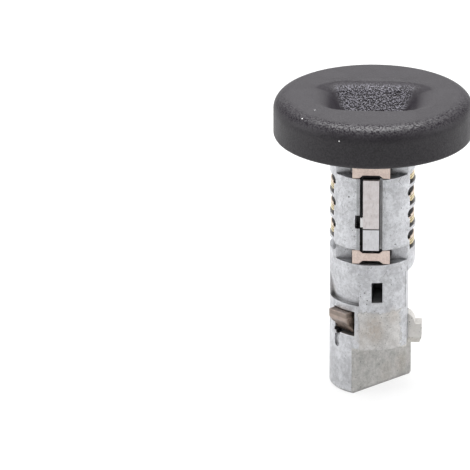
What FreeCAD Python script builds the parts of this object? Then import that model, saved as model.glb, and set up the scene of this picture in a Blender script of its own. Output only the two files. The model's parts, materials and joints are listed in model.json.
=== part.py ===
import FreeCAD, Part
import os
import Sketcher

# Sidebar ignition lock cylinder, as it comes off the bench: a die-cast zinc barrel with a big
# moulded knob on its head. The lock axis is Z with the knob up, the side bar faces -Y, and the
# origin is at the centre of the tang's end face. All sizes are in millimetres.

# Driving sizes
SIZES = {
    # barrel, from the tang's end upwards
    "barrel_diameter": (19.5, "turning diameter of the barrel"),
    "tang_length": (10.1, "length of the flattened drive end"),
    "tang_flat_depth": (3.2, "from the axis to the tang's flat"),
    "tang_chamfer": (0.5, "edge break round the tang's end"),
    "stem_length": (31.95, "from the tang's end to the lower groove"),
    "groove_height": (3.5, "height of each retainer groove"),
    "groove_floor": (5.34, "from the axis to the floor of the retainer grooves"),
    "land_length": (17.15, "barrel between the two retainer grooves"),
    "head_length": (3.8, "solid head over the upper groove"),
    "spigot_diameter": (17.0, "spigot that the knob sits on"),
    "spigot_height": (2.3, "height of the spigot"),
    "stem_flat": (8.0, "from the axis to the flat along the right of the stem"),
    "stem_flat_bottom": (9.4, "height of the lower end of the stem's right flat"),
    "stem_flat_top": (29.1, "height of the upper end of the stem's right flat"),
    "stem_flat_corner": (1.7, "rounded lower corner of the full barrel over the flat"),
    # key way and the shutter under the knob
    "key_width": (8.8, "width of the key way, along X"),
    "key_thickness": (2.7, "thickness of the key way, along Y"),
    "key_bottom": (22.0, "height of the floor of the key way"),
    "shutter_thickness": (0.5, "sheet of the shutter door"),
    "shutter_pin_diameter": (0.7, "hinge pin of the shutter"),
    "shutter_pin_offset": (2.05, "from the axis back to the hinge pin"),
    # side bar and what holds it
    "bar_width": (3.64, "width of the side bar"),
    "bar_slot_width": (5.0, "mouth of the slot that the side bar stands in"),
    "bar_slot_depth": (3.7, "depth of the wide mouth"),
    "bar_bottom": (35.5, "height of the side bar's lower end"),
    "bar_top": (52.5, "height of the side bar's upper end"),
    "bar_seam": (5.15, "length of the lower piece of the side bar"),
    "bar_travel": (1.0, "how far the side bar drops in"),
    "bar_back": (5.6, "from the axis to the back of the side bar"),
    "bar_tongue_length": (2.9, "tongue at each end of the side bar"),
    "bar_spring_diameter": (1.7, "outside of the side bar springs"),
    "retainer_width": (8.5, "width of each retainer clip"),
    "retainer_thickness": (1.0, "sheet of the retainer clips"),
    "retainer_face": (9.0, "from the axis to the face of the retainer clips"),
    "retainer_notch": (0.7, "depth of the notches that make the bow-tie"),
    # tumblers
    "tumbler_pitch": (2.63, "spacing of the tumblers"),
    "tumbler_top": (50.8, "underside of the highest tumbler"),
    "tumbler_thickness": (1.4, "thickness of a tumbler"),
    "tumbler_width": (9.0, "width of a tumbler, along Y"),
    "window_width": (10.6, "length of an oblong window, along Y"),
    "tumbler_step": (0.3, "one step of the key code"),
    "tumbler_tail": (6.35, "from the axis to a tumbler's hidden end"),
    "tumbler_spring_diameter": (1.3, "outside of the tumbler springs"),
    # latch
    "latch_width": (5.4, "width of the latch"),
    "latch_bottom": (14.5, "height of the underside of the latch"),
    "latch_height": (5.6, "height of the latch"),
    "latch_nose": (1.8, "height of the square nose over the ramp"),
    "latch_reach": (1.6, "how far the latch stands out of the barrel"),
    "latch_azimuth": (228.0, "direction of the latch, from +X"),
    "latch_spring_diameter": (2.3, "outside of the latch spring"),
    # knob
    "knob_diameter": (45.0, "outside of the knob"),
    "knob_height": (9.8, "height of the knob"),
    "knob_edge": (3.3, "rounding of the knob's upper edge"),
    "knob_wall": (2.2, "wall of the knob's skirt and roof"),
    "knob_hub": (27.0, "outside of the knob's hub"),
    "recess_length": (21.6, "key recess at the knob's face, along X"),
    "recess_width": (14.4, "key recess at the knob's face, along Y"),
    "recess_floor_length": (13.4, "key recess at its floor, along X"),
    "recess_floor_width": (5.6, "key recess at its floor, along Y"),
    "recess_depth": (6.4, "depth of the key recess"),
    "recess_rim": (2.6, "rounding of the recess's rim"),
    # fits
    "fit": (0.05, "running clearance on a side"),
    "slack": (0.1, "clearance that only has to stay open"),
}
TUMBLER_CODE = (1, 3, 2, 1, 3, 2, 1)

doc = FreeCAD.newDocument("ignition_lock_cylinder")
sheet = doc.addObject("Spreadsheet::Sheet", "sizes")
for row, (alias, (number, meaning)) in enumerate(SIZES.items(), start=1):
    sheet.set(f"A{row}", alias)
    sheet.set(f"B{row}", str(number))
    sheet.set(f"C{row}", meaning)
    sheet.setAlias(f"B{row}", alias)
doc.recompute()


class Size:
    """A size that carries its number and the sheet formula that drives it."""

    def __init__(self, text, number):
        self.text = text
        self.number = number

    def joined(self, sign, other, number):
        return Size(f"({self.text} {sign} {as_size(other).text})", number)

    def __add__(self, other):
        return self.joined("+", other, self.number + as_size(other).number)

    def __sub__(self, other):
        return self.joined("-", other, self.number - as_size(other).number)

    def __mul__(self, other):
        return self.joined("*", other, self.number * as_size(other).number)

    def __truediv__(self, other):
        return self.joined("/", other, self.number / as_size(other).number)

    def __neg__(self):
        return Size(f"(0 - {self.text})", -self.number)

    def __radd__(self, other):
        return as_size(other) + self

    def __rsub__(self, other):
        return as_size(other) - self

    def __rmul__(self, other):
        return as_size(other) * self


def as_size(value):
    return value if isinstance(value, Size) else Size(repr(float(value)), float(value))


def size(alias):
    return Size(f"sizes.{alias}", SIZES[alias][0])


def drive(item, path, value):
    """Bind one property of an object to its formula in the sheet."""
    item.setExpression(path, as_size(value).text)


# Sketches and features
def new_body(label):
    body = doc.addObject("PartDesign::Body", label)
    body.Label = label
    return body


def origin_feature(body, role):
    return next(f for f in body.Origin.OriginFeatures if f.Role == role)


def sketch_on(body, name, plane, level=0, turn=0, rise=0):
    """A sketch on one of the body's own planes, moved out by level along the plane's normal.

    An XY sketch is turned about Z. An XZ sketch is turned about Z too, so that its x runs in the
    direction turn, and it is lifted by rise.
    """
    sketch = body.newObject("Sketcher::SketchObject", name)
    sketch.AttachmentSupport = [(origin_feature(body, plane), "")]
    sketch.MapMode = "FlatFace"
    upright = plane == "XZ_Plane"
    about = FreeCAD.Vector(0, 1, 0) if upright else FreeCAD.Vector(0, 0, 1)
    sketch.AttachmentOffset = FreeCAD.Placement(FreeCAD.Vector(), FreeCAD.Rotation(about, 1))
    level = as_size(level)
    turn = as_size(turn)
    drive(sketch, "AttachmentOffset.Rotation.Angle", turn)
    if upright:
        sketch.setExpression("AttachmentOffset.Base.x", f"{level.text} * sin({turn.text})")
        sketch.setExpression("AttachmentOffset.Base.z", f"{level.text} * cos({turn.text})")
        drive(sketch, "AttachmentOffset.Base.y", rise)
    else:
        drive(sketch, "AttachmentOffset.Base.z", level)
    return sketch


def pin_point(sketch, edge, point, spot):
    """Hold one point of a sketch edge at a driven x and y."""
    for kind, value in zip(("DistanceX", "DistanceY"), spot):
        value = as_size(value)
        rule = sketch.addConstraint(Sketcher.Constraint(kind, -1, 1, edge, point, value.number))
        sketch.setExpression(f"Constraints[{rule}]", value.text)


def outline(sketch, corners, arcs=None):
    """A closed outline through the corners; arcs gives the radius of the edge after a corner.

    A positive radius bulges to the right of the way that the outline runs, a negative one to
    the left.
    """
    arcs = arcs or {}
    spots = [FreeCAD.Vector(as_size(x).number, as_size(y).number, 0) for x, y in corners]
    count = len(corners)
    for index in range(count):
        start = spots[index]
        end = spots[(index + 1) % count]
        if index in arcs:
            radius = as_size(arcs[index]).number
            chord = end - start
            side = FreeCAD.Vector(chord.y, -chord.x, 0).normalize()
            sagitta = abs(radius) - max(radius**2 - chord.Length**2 / 4, 0) ** 0.5
            middle = (start + end) / 2 + side * (sagitta if radius > 0 else -sagitta)
            sketch.addGeometry(Part.Arc(start, middle, end), False)
        else:
            sketch.addGeometry(Part.LineSegment(start, end), False)
    starts = []
    ends = []
    for index in range(count):
        first = sketch.getPoint(index, 1)
        forward = (first - spots[index]).Length < 1e-6
        starts.append(1 if forward else 2)
        ends.append(2 if forward else 1)
    for index in range(count):
        following = (index + 1) % count
        sketch.addConstraint(
            Sketcher.Constraint("Coincident", index, ends[index], following, starts[following])
        )
    for index, corner in enumerate(corners):
        pin_point(sketch, index, starts[index], corner)
    for index, radius in arcs.items():
        radius = as_size(radius)
        chord = spots[(index + 1) % count] - spots[index]
        if chord.Length > 1.999 * abs(radius.number):
            across = abs(chord.x) < abs(chord.y)
            kind = "DistanceX" if across else "DistanceY"
            value = as_size(corners[index][0 if across else 1])
            rule = sketch.addConstraint(Sketcher.Constraint(kind, -1, 1, index, 3, value.number))
        else:
            value = radius if radius.number > 0 else -radius
            rule = sketch.addConstraint(Sketcher.Constraint("Radius", index, value.number))
        sketch.setExpression(f"Constraints[{rule}]", value.text)
    return sketch


def rectangle(sketch, across, along):
    """A rectangle from across[0] to across[1] in x and from along[0] to along[1] in y."""
    left, right = across
    low, high = along
    return outline(sketch, [(left, low), (right, low), (right, high), (left, high)])


def obround(sketch, across, along):
    """A slot outline with half-round ends, longer in x than in y."""
    left, right = across
    low, high = along
    half = (high - low) / 2
    corners = [(left + half, low), (right - half, low), (right - half, high), (left + half, high)]
    return outline(sketch, corners, {1: half, 3: half})


def circle(sketch, centre, radius):
    spot = FreeCAD.Vector(as_size(centre[0]).number, as_size(centre[1]).number, 0)
    radius = as_size(radius)
    edge = sketch.addGeometry(Part.Circle(spot, FreeCAD.Vector(0, 0, 1), radius.number), False)
    pin_point(sketch, edge, 3, centre)
    rule = sketch.addConstraint(Sketcher.Constraint("Radius", edge, radius.number))
    sketch.setExpression(f"Constraints[{rule}]", radius.text)
    return sketch


def extrude(body, kind, name, sketch, length, reverse=False):
    feature = body.newObject(f"PartDesign::{kind}", name)
    feature.Profile = sketch
    drive(feature, "Length", length)
    feature.Reversed = reverse
    return feature


def pad(body, name, sketch, length, reverse=False):
    return extrude(body, "Pad", name, sketch, length, reverse)


def pocket(body, name, sketch, length, reverse=False):
    return extrude(body, "Pocket", name, sketch, length, reverse)


def turned(body, kind, name, sketch, axis="V_Axis", angle=360):
    feature = body.newObject(f"PartDesign::{kind}", name)
    feature.Profile = sketch
    feature.ReferenceAxis = (sketch, [axis])
    drive(feature, "Angle", angle)
    return feature


def cut_block(body, name, across, along, heights, turn=0):
    """Cut a box out of the body, from heights[0] to heights[1]."""
    sketch = rectangle(sketch_on(body, f"{name}_sketch", "XY_Plane", heights[1], turn), across, along)
    return pocket(body, name, sketch, heights[1] - heights[0])


def add_block(body, name, across, along, heights, turn=0):
    """Add a box to the body, from heights[0] to heights[1]."""
    sketch = rectangle(sketch_on(body, f"{name}_sketch", "XY_Plane", heights[0], turn), across, along)
    return pad(body, name, sketch, heights[1] - heights[0])


def row_down(body, name, originals, spacing, count):
    """Repeat features downwards along the lock axis."""
    pattern = body.newObject("PartDesign::LinearPattern", name)
    pattern.Originals = originals
    pattern.Direction = (origin_feature(body, "Z_Axis"), [""])
    pattern.Reversed = True
    drive(pattern, "Length", spacing * (count - 1))
    pattern.Occurrences = count
    body.Tip = pattern
    return pattern


def round_edges(body, name, radius, wanted):
    """Fillet the edges of the body whose box passes the test wanted."""
    doc.recompute()
    base = body.Tip
    names = [f"Edge{i}" for i, edge in enumerate(base.Shape.Edges, start=1) if wanted(edge.BoundBox)]
    fillet = body.newObject("PartDesign::Fillet", name)
    fillet.Base = (base, names)
    drive(fillet, "Radius", radius)
    return fillet


def near(first, second, gap=0.02):
    return abs(first - as_size(second).number) < gap


def on_side(sign, inner, outer):
    """A span from inner to outer measured to the right (sign 1) or to the left, low end first."""
    return (inner, outer) if sign == 1 else (-outer, -inner)


def coil(label, outside, wire, length, turns, foot, turn):
    """A compression spring: a six-sided wire swept along a helix, set on its foot and turned.

    foot is the middle of the spring's first end, and turn is the rotation that lays +Z along
    the spring.
    """
    helix = doc.addObject("Part::Helix", f"{label}_path")
    radius = (outside - wire) / 2
    rise = length - wire
    drive(helix, "Radius", radius)
    drive(helix, "Height", rise)
    drive(helix, "Pitch", rise / turns)
    section = doc.addObject("Part::RegularPolygon", f"{label}_wire")
    section.Polygon = 6
    drive(section, "Circumradius", wire / 2)
    section.Placement = FreeCAD.Placement(
        FreeCAD.Vector(), FreeCAD.Rotation(FreeCAD.Vector(1, 0, 0), 90)
    )
    drive(section, "Placement.Base.x", radius)
    spring = doc.addObject("Part::Sweep", label)
    spring.Label = label
    spring.Sections = [section]
    spring.Spine = (helix, [])
    spring.Solid = True
    spring.Frenet = True
    spring.Placement = FreeCAD.Placement(FreeCAD.Vector(), turn)
    lift = turn.multVec(FreeCAD.Vector(0, 0, 1))
    for axis, start, share in zip("xyz", foot, (lift.x, lift.y, lift.z)):
        drive(spring, f"Placement.Base.{axis}", as_size(start) + wire / 2 * share)
    return spring


FIT = size("fit")
SLACK = size("slack")
BARREL = size("barrel_diameter") / 2
OUTSIDE = BARREL + 1

# Heights up the lock
LOWER_GROOVE = (size("stem_length"), size("stem_length") + size("groove_height"))
LAND = (LOWER_GROOVE[1], LOWER_GROOVE[1] + size("land_length"))
UPPER_GROOVE = (LAND[1], LAND[1] + size("groove_height"))
SEAT = UPPER_GROOVE[1] + size("head_length")
SPIGOT_TOP = SEAT + size("spigot_height")
KNOB_TOP = SEAT + size("knob_height")


def tumbler_height(index):
    """Underside of a tumbler, counted from the knob down."""
    return size("tumbler_top") - size("tumbler_pitch") * index


# Barrel: one zinc casting from the spigot under the knob to the flattened tang
lock_body = new_body("lock_body")
chamfer = size("tang_chamfer")
profile = [
    (0, 0),
    (BARREL - chamfer, 0),
    (BARREL, chamfer),
    (BARREL, SEAT),
    (size("spigot_diameter") / 2, SEAT),
    (size("spigot_diameter") / 2, SPIGOT_TOP),
    (0, SPIGOT_TOP),
]
barrel_profile = outline(sketch_on(lock_body, "barrel_profile", "XZ_Plane"), profile)
turned(lock_body, "Revolution", "barrel", barrel_profile)

# The tang is flattened on the side that faces front right, which turns the switch. The flat's
# upper edge steps up where the die was parted.
flat_edge = size("tang_length")
FLAT_STEP = 1.1
STEP_LEFT = (-9.0, -7.2)
STEP_RIGHT = (-0.6, 0.4)
tang_side = sketch_on(lock_body, "tang_side", "XZ_Plane", level=OUTSIDE, turn=45)
outline(
    tang_side,
    [
        (-OUTSIDE, -1),
        (OUTSIDE, -1),
        (OUTSIDE, flat_edge + FLAT_STEP / 2),
        (STEP_RIGHT[1], flat_edge + FLAT_STEP / 2),
        (STEP_RIGHT[0], flat_edge + FLAT_STEP),
        (STEP_LEFT[1], flat_edge + FLAT_STEP),
        (STEP_LEFT[0], flat_edge),
        (-OUTSIDE, flat_edge),
    ],
)
pocket(lock_body, "tang_flat", tang_side, OUTSIDE - size("tang_flat_depth"))

# Right side of the stem: a flat with the full barrel ending over it in a rounded corner
corner = size("stem_flat_corner")
flat_top = size("stem_flat_top")
flat_side = sketch_on(lock_body, "stem_flat_side", "XZ_Plane", level=OUTSIDE)
outline(
    flat_side,
    [
        (size("stem_flat"), size("stem_flat_bottom")),
        (OUTSIDE, size("stem_flat_bottom")),
        (OUTSIDE, flat_top + corner),
        (BARREL, flat_top + corner),
        (BARREL - corner, flat_top),
        (size("stem_flat"), flat_top),
    ],
    {3: -corner},
)
pocket(lock_body, "stem_flat_cut", flat_side, OUTSIDE * 2)

# Ear on the right of the stem, which stops the turn: a rounded hump with a square tab
EAR_THICKNESS = 3.45
EAR_ROOT = 6.0
EAR_TIP = BARREL + 1.6
EAR_BOTTOM = 10.1
EAR_SHOULDER = 14.75
EAR_TOP = 17.2
HUMP_RADIUS = 2.9
EAR_LEAD = (0.5, 1.2)
ear_side = sketch_on(lock_body, "ear_side", "XZ_Plane", level=EAR_THICKNESS / 2)
outline(
    ear_side,
    [
        (EAR_ROOT, EAR_BOTTOM),
        (EAR_TIP - EAR_LEAD[0], EAR_BOTTOM),
        (EAR_TIP, EAR_BOTTOM + EAR_LEAD[1]),
        (EAR_TIP, EAR_SHOULDER),
        (BARREL + 0.1, EAR_SHOULDER),
        (BARREL - 1.65, EAR_TOP),
        (EAR_ROOT, EAR_TOP),
    ],
    {4: HUMP_RADIUS},
)
pad(lock_body, "ear", ear_side, EAR_THICKNESS, reverse=True)

# Retainer grooves: the barrel is cut back to a chord over and under the side bar
for name, heights in (("lower_groove", LOWER_GROOVE), ("upper_groove", UPPER_GROOVE)):
    cut_block(lock_body, name, (-OUTSIDE, OUTSIDE), (-OUTSIDE, -size("groove_floor")), heights)

# Slot of the side bar: a wide mouth that is shallow on the right, a guide that fits the bar, a
# notch for its tab, and a broad bevel along each lip
mouth = size("bar_slot_width") / 2
guide = size("bar_width") / 2 + FIT
RIDGE = 0.9
ridge_floor = size("bar_back") - size("bar_travel") - RIDGE - 0.15
slot_floor = size("bar_slot_depth") - BARREL
LEDGE_DEPTH = 1.5
cut_block(lock_body, "bar_mouth", (-mouth, guide), (-OUTSIDE, slot_floor), LAND)
cut_block(lock_body, "bar_ledge", (guide - SLACK, mouth), (-OUTSIDE, LEDGE_DEPTH - BARREL), LAND)
BAR = (size("bar_bottom"), size("bar_top"))
tongue_length = size("bar_tongue_length")
guide_heights = (BAR[0] - tongue_length - 0.2, BAR[1] + tongue_length + 0.2)
cut_block(lock_body, "bar_guide", (-guide, guide), (-OUTSIDE, -ridge_floor), guide_heights)
TAB = (LAND[0] + 5.7, LAND[0] + 8.0)
NOTCH_WIDTH = 1.1
notch_heights = (TAB[0] - 0.5, TAB[1] + 0.35)
cut_block(lock_body, "bar_tab_notch", (-mouth - NOTCH_WIDTH, -guide), (-OUTSIDE, slot_floor), notch_heights)
LIP_WIDTH = 0.75
LIP_DEPTH = 0.62
lip_plan = sketch_on(lock_body, "bar_lip_plan", "XY_Plane", LAND[1])
outline(
    lip_plan,
    [
        (-mouth - LIP_WIDTH, -OUTSIDE),
        (mouth + LIP_WIDTH, -OUTSIDE),
        (mouth + LIP_WIDTH, LIP_DEPTH - BARREL - 0.12),
        (mouth - SLACK, LIP_DEPTH - BARREL),
        (-mouth + SLACK, LIP_DEPTH - BARREL),
        (-mouth - LIP_WIDTH, LIP_DEPTH - BARREL - 0.12),
    ],
)
pocket(lock_body, "bar_lips", lip_plan, size("land_length"))

# Holes in the groove floors for the legs of the retainer clips
leg_thickness = size("retainer_thickness")
leg_outside = size("retainer_width") / 2
LEG_INSET = 0.75
LEG_DEPTH = 1.7
for name, heights in (("lower_leg_hole", LOWER_GROOVE), ("upper_leg_hole", UPPER_GROOVE)):
    for side, sign in (("left", -1), ("right", 1)):
        cut_block(
            lock_body,
            f"{name}_{side}",
            on_side(sign, leg_outside - leg_thickness - FIT, leg_outside + FIT),
            (-size("groove_floor") - 1, LEG_DEPTH + FIT - size("groove_floor")),
            (heights[0] + LEG_INSET - FIT, heights[1] - LEG_INSET + FIT),
        )

# Tumbler slots: each is open on one side, where the tumbler's end shows, and blind on the
# other, where an oblong window lets the tumbler's tail move. They change sides down the row.
half_width = size("tumbler_width") / 2
slot_width = half_width + FIT
tail_end = size("tumbler_tail") + size("bar_travel") + SLACK
SPRING_SHELF = 2.95
SPRING_STOP = 1.6
RELIEF_HEIGHT = 0.95
RELIEF_START = 0.68
WINDOW_HEIGHTS = (-1.35, 0.85)
WINDOW_FLOOR = 6.9
for first, sign in ((0, 1), (1, -1)):
    base = tumbler_height(first)
    name = "right" if sign == 1 else "left"
    slot = sketch_on(lock_body, f"{name}_slot_plan", "XY_Plane", base + size("tumbler_thickness") + FIT)
    outline(
        slot,
        [
            (-tail_end * sign, -slot_width),
            (OUTSIDE * sign, -slot_width),
            (OUTSIDE * sign, slot_width),
            (as_size(-SPRING_STOP * sign), slot_width),
            (as_size(-SPRING_STOP * sign), as_size(SPRING_SHELF)),
            (-tail_end * sign, as_size(SPRING_SHELF)),
        ],
    )
    cut = pocket(lock_body, f"{name}_slot", slot, size("tumbler_thickness") + FIT * 2)
    relief_plan = sketch_on(lock_body, f"{name}_relief_plan", "XY_Plane", base)
    rectangle(relief_plan, on_side(sign, BARREL * RELIEF_START, OUTSIDE), (-slot_width, slot_width))
    relief = pocket(lock_body, f"{name}_relief", relief_plan, RELIEF_HEIGHT)
    window_side = sketch_on(lock_body, f"{name}_window_side", "YZ_Plane", -OUTSIDE * sign)
    window_half = size("window_width") / 2
    window_heights = (base + WINDOW_HEIGHTS[0], base + WINDOW_HEIGHTS[1])
    obround(window_side, (-window_half, window_half), window_heights)
    window = pocket(lock_body, f"{name}_window", window_side, OUTSIDE - WINDOW_FLOOR, reverse=sign == 1)
    row_down(
        lock_body,
        f"{name}_row",
        [cut, relief, window],
        size("tumbler_pitch") * 2,
        len(TUMBLER_CODE[first::2]),
    )

# The highest tumbler has no window over it, so the slot itself is raised over its thick head
HEAD_HALF = 3.4
HEAD_HEIGHTS = (-0.25, 1.75)
cut_block(
    lock_body,
    "top_head_relief",
    (as_size(WINDOW_FLOOR), OUTSIDE),
    (as_size(-HEAD_HALF) - SLACK, HEAD_HALF + SLACK),
    (tumbler_height(0) + size("tumbler_thickness"), tumbler_height(0) + HEAD_HEIGHTS[1] + FIT),
)

# Key way down the axis, the shutter's well in the spigot and the seats of its hinge pin
key_half = size("key_width") / 2
key_wall = size("key_thickness") / 2
cut_block(
    lock_body, "key_way", (-key_half, key_half), (-key_wall, key_wall), (size("key_bottom"), SPIGOT_TOP)
)
pin_radius = size("shutter_pin_diameter") / 2
pin_back = size("shutter_pin_offset")
PIN_HEIGHT = SPIGOT_TOP - 0.7
WELL_HALF = key_half + 0.9
PIN_HALF = WELL_HALF + 0.9
WELL_DEPTH = 4.5
cut_block(
    lock_body,
    "shutter_well",
    (-WELL_HALF, WELL_HALF),
    (-key_wall - 0.3, pin_back + 1.1),
    (SPIGOT_TOP - WELL_DEPTH, SPIGOT_TOP),
)
cut_block(
    lock_body,
    "pin_seats",
    (-PIN_HALF - SLACK, PIN_HALF + SLACK),
    (pin_back - pin_radius - FIT, pin_back + pin_radius + FIT),
    (PIN_HEIGHT - pin_radius, SPIGOT_TOP),
)

# Slots and side windows in the head for the knob's two snap hooks
HOOK_INSIDE = size("spigot_diameter") / 2 - 1.8
HOOK_THICKNESS = 1.0
HOOK_HALF = 1.5
HOOK_BOTTOM = UPPER_GROOVE[1] + 0.3
HOOK_NOSE = 1.0
for side, sign in (("left", -1), ("right", 1)):
    shaft = on_side(sign, HOOK_INSIDE - SLACK, HOOK_INSIDE + HOOK_THICKNESS + SLACK)
    across = (as_size(-HOOK_HALF) - SLACK, HOOK_HALF + SLACK)
    cut_block(lock_body, f"hook_slot_{side}", shaft, across, (HOOK_BOTTOM - 0.2, SPIGOT_TOP))
    window = on_side(sign, HOOK_INSIDE - SLACK, OUTSIDE)
    window_heights = (HOOK_BOTTOM - 0.2, HOOK_BOTTOM + HOOK_NOSE + SLACK)
    cut_block(lock_body, f"hook_window_{side}", window, across, window_heights)

# Small square window in the front of the stem, which opens into the foot of the key way
STEM_WINDOW = (as_size(22.85), as_size(27.65))
cut_block(lock_body, "stem_window", (0.2, 2.65), (-OUTSIDE, as_size(-1)), STEM_WINDOW)

# Scooped relief on the left of the stem: its floor slopes in from nothing at the top down to a
# sharp ledge at the bottom
SCOOP_BOTTOM = 21.75
SCOOP_TOP = 27.6
SCOOP_DEPTH = 1.0
scoop_section = sketch_on(lock_body, "scoop_section", "XZ_Plane", turn=194)
outline(
    scoop_section,
    [
        (BARREL - SCOOP_DEPTH, SCOOP_BOTTOM),
        (OUTSIDE, SCOOP_BOTTOM),
        (OUTSIDE, SCOOP_TOP),
        (BARREL, SCOOP_TOP),
    ],
)
turned(lock_body, "Groove", "scoop", scoop_section, angle=60)

# Rough as-cast patch on the front of the stem, a little under the turned surface
PATCH_DEPTH = 0.22
PATCH = (as_size(11.0), as_size(20.5))
patch_section = sketch_on(lock_body, "patch_section", "XZ_Plane", turn=252)
rectangle(patch_section, (BARREL - PATCH_DEPTH, OUTSIDE), PATCH)
turned(lock_body, "Groove", "cast_patch", patch_section, angle=59)

# Well of the latch, with the punched groove and the staked lip that keep the latch in
azimuth = size("latch_azimuth")
LATCH = (size("latch_bottom"), size("latch_bottom") + size("latch_height"))
WELL_FLOOR = 0.9
WELL_SIDE = size("latch_width") / 2 + 0.25
WELL_RIGHT_GAP = 0.3
latch_well = sketch_on(lock_body, "latch_well_side", "XZ_Plane", level=WELL_SIDE, turn=azimuth)
rectangle(latch_well, (as_size(WELL_FLOOR), OUTSIDE), (LATCH[0] - 0.2, LATCH[1] + SLACK))
pocket(lock_body, "latch_well", latch_well, WELL_SIDE * 2 + WELL_RIGHT_GAP)
facing = azimuth - 270
PUNCH_LEFT = -2.65
PUNCH_RIGHT = -1.15
punch = sketch_on(lock_body, "punch_face", "XZ_Plane", level=BARREL, turn=facing)
outline(
    punch,
    [
        (PUNCH_LEFT, LATCH[0] - 3.2),
        (PUNCH_RIGHT, LATCH[0] - 3.2),
        (PUNCH_RIGHT, LATCH[0] - 0.95),
        (PUNCH_LEFT, LATCH[0] - 0.95),
    ],
    {0: 0.75},
)
pocket(lock_body, "punch", punch, 0.85)
nick = sketch_on(lock_body, "punch_nick", "XZ_Plane", level=BARREL, turn=facing)
outline(
    nick,
    [
        (PUNCH_LEFT + 0.2, LATCH[0]),
        (PUNCH_LEFT + 0.75, LATCH[0] - 1.1),
        (PUNCH_RIGHT + 0.2, LATCH[0] - 0.75),
        (PUNCH_RIGHT + 0.3, LATCH[0]),
    ],
)
pocket(lock_body, "punch_nick_cut", nick, 2.0)
STAKE = (LATCH[0] + 0.7, LATCH[0] + 2.1)
STAKE_LEFT = -WELL_SIDE - 0.35
STAKE_RIGHT = -WELL_SIDE + 0.65
STAKE_BACK = 0.8
STAKE_PROUD = 0.05
stake = sketch_on(lock_body, "stake_face", "XZ_Plane", level=BARREL - STAKE_PROUD, turn=facing)
rectangle(stake, (as_size(STAKE_LEFT), as_size(STAKE_RIGHT)), STAKE)
pad(lock_body, "stake", stake, STAKE_BACK - STAKE_PROUD, reverse=True)

# Knob: a moulded disc, cored and ribbed underneath, with a hub over the spigot
knob = new_body("knob")
knob_radius = size("knob_diameter") / 2
wall = size("knob_wall")
hub = size("knob_hub") / 2
socket = size("spigot_diameter") / 2 + FIT
web = SPIGOT_TOP + FIT
knob_profile = outline(
    sketch_on(knob, "knob_profile", "XZ_Plane"),
    [
        (0, web),
        (socket, web),
        (socket, SEAT + FIT),
        (hub, SEAT + FIT),
        (hub, KNOB_TOP - wall),
        (knob_radius - wall, KNOB_TOP - wall),
        (knob_radius - wall, SEAT),
        (knob_radius, SEAT),
        (knob_radius, KNOB_TOP),
        (0, KNOB_TOP),
    ],
)
turned(knob, "Revolution", "disc", knob_profile)
round_edges(
    knob,
    "upper_edge",
    size("knob_edge"),
    lambda box: near(box.ZMin, KNOB_TOP) and near(box.XMax, knob_radius),
)
round_edges(
    knob,
    "lower_edge",
    1.0,
    lambda box: near(box.ZMax, SEAT) and near(box.XMax, knob_radius),
)

# Key recess: a bowl with sloping walls, soft at its rim, over the slot for the key
recess_floor = KNOB_TOP - size("recess_depth")
recess_top = rectangle(
    sketch_on(knob, "recess_top", "XY_Plane", KNOB_TOP + 0.01),
    (-size("recess_length") / 2, size("recess_length") / 2),
    (-size("recess_width") / 2, size("recess_width") / 2),
)
recess_bottom = rectangle(
    sketch_on(knob, "recess_bottom", "XY_Plane", recess_floor),
    (-size("recess_floor_length") / 2, size("recess_floor_length") / 2),
    (-size("recess_floor_width") / 2, size("recess_floor_width") / 2),
)
recess = knob.newObject("PartDesign::SubtractiveLoft", "recess")
recess.Profile = recess_top
recess.Sections = [recess_bottom]
recess.Ruled = True


def recess_corner(box):
    return box.ZMax - box.ZMin > size("recess_depth").number * 0.9 and box.XMax**2 + box.YMax**2 < 170


def recess_rim(box):
    return near(box.ZMin, KNOB_TOP) and near(box.ZMax, KNOB_TOP) and box.XMax < hub.number + 2


round_edges(knob, "recess_corners", 2.2, recess_corner)
round_edges(knob, "recess_rim_edge", size("recess_rim"), recess_rim)
cut_block(
    knob,
    "key_slot",
    (-key_half + SLACK, key_half - SLACK),
    (-key_wall + FIT, key_wall - FIT),
    (web - 1, recess_floor + 1),
)

# Ribs between hub and skirt
rib = add_block(
    knob,
    "rib",
    (hub - 0.3, knob_radius - wall + 0.3),
    (as_size(-0.6), as_size(0.6)),
    (SEAT + 1.2, KNOB_TOP - wall + 0.1),
)
ribs = knob.newObject("PartDesign::PolarPattern", "ribs")
ribs.Originals = [rib]
ribs.Axis = (origin_feature(knob, "Z_Axis"), [""])
ribs.Angle = 360
ribs.Occurrences = 8
knob.Tip = ribs

# Snap hooks that reach down through the head and catch in its side windows
for side, sign in (("left", -1), ("right", 1)):
    hook_side = sketch_on(knob, f"hook_{side}_side", "XZ_Plane", level=HOOK_HALF)
    reach = HOOK_INSIDE + HOOK_THICKNESS
    outline(
        hook_side,
        [
            (HOOK_INSIDE * sign, web + 0.3),
            (HOOK_INSIDE * sign, HOOK_BOTTOM),
            ((reach + 0.2) * sign, HOOK_BOTTOM),
            ((reach + 0.9) * sign, HOOK_BOTTOM + HOOK_NOSE - 0.2),
            ((reach + 0.9) * sign, HOOK_BOTTOM + HOOK_NOSE),
            (reach * sign, HOOK_BOTTOM + HOOK_NOSE),
            (reach * sign, web + 0.3),
        ],
    )
    pad(knob, f"hook_{side}", hook_side, HOOK_HALF * 2, reverse=True)

# Side bar: a long upper piece and a short lower piece that drop into the tumblers together
bar_half = size("bar_width") / 2
bar_back = size("bar_back")
SEAM = BAR[0] + size("bar_seam")
RIDGE_TIP = 0.3
LOWER_TONGUE = tongue_length - 0.65
SPRING_INSET = 1.2
BAR_WIRE = 0.25
TONGUE_FACE = size("retainer_face") - size("retainer_thickness") - FIT
bar_face = BARREL - 0.1


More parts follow.
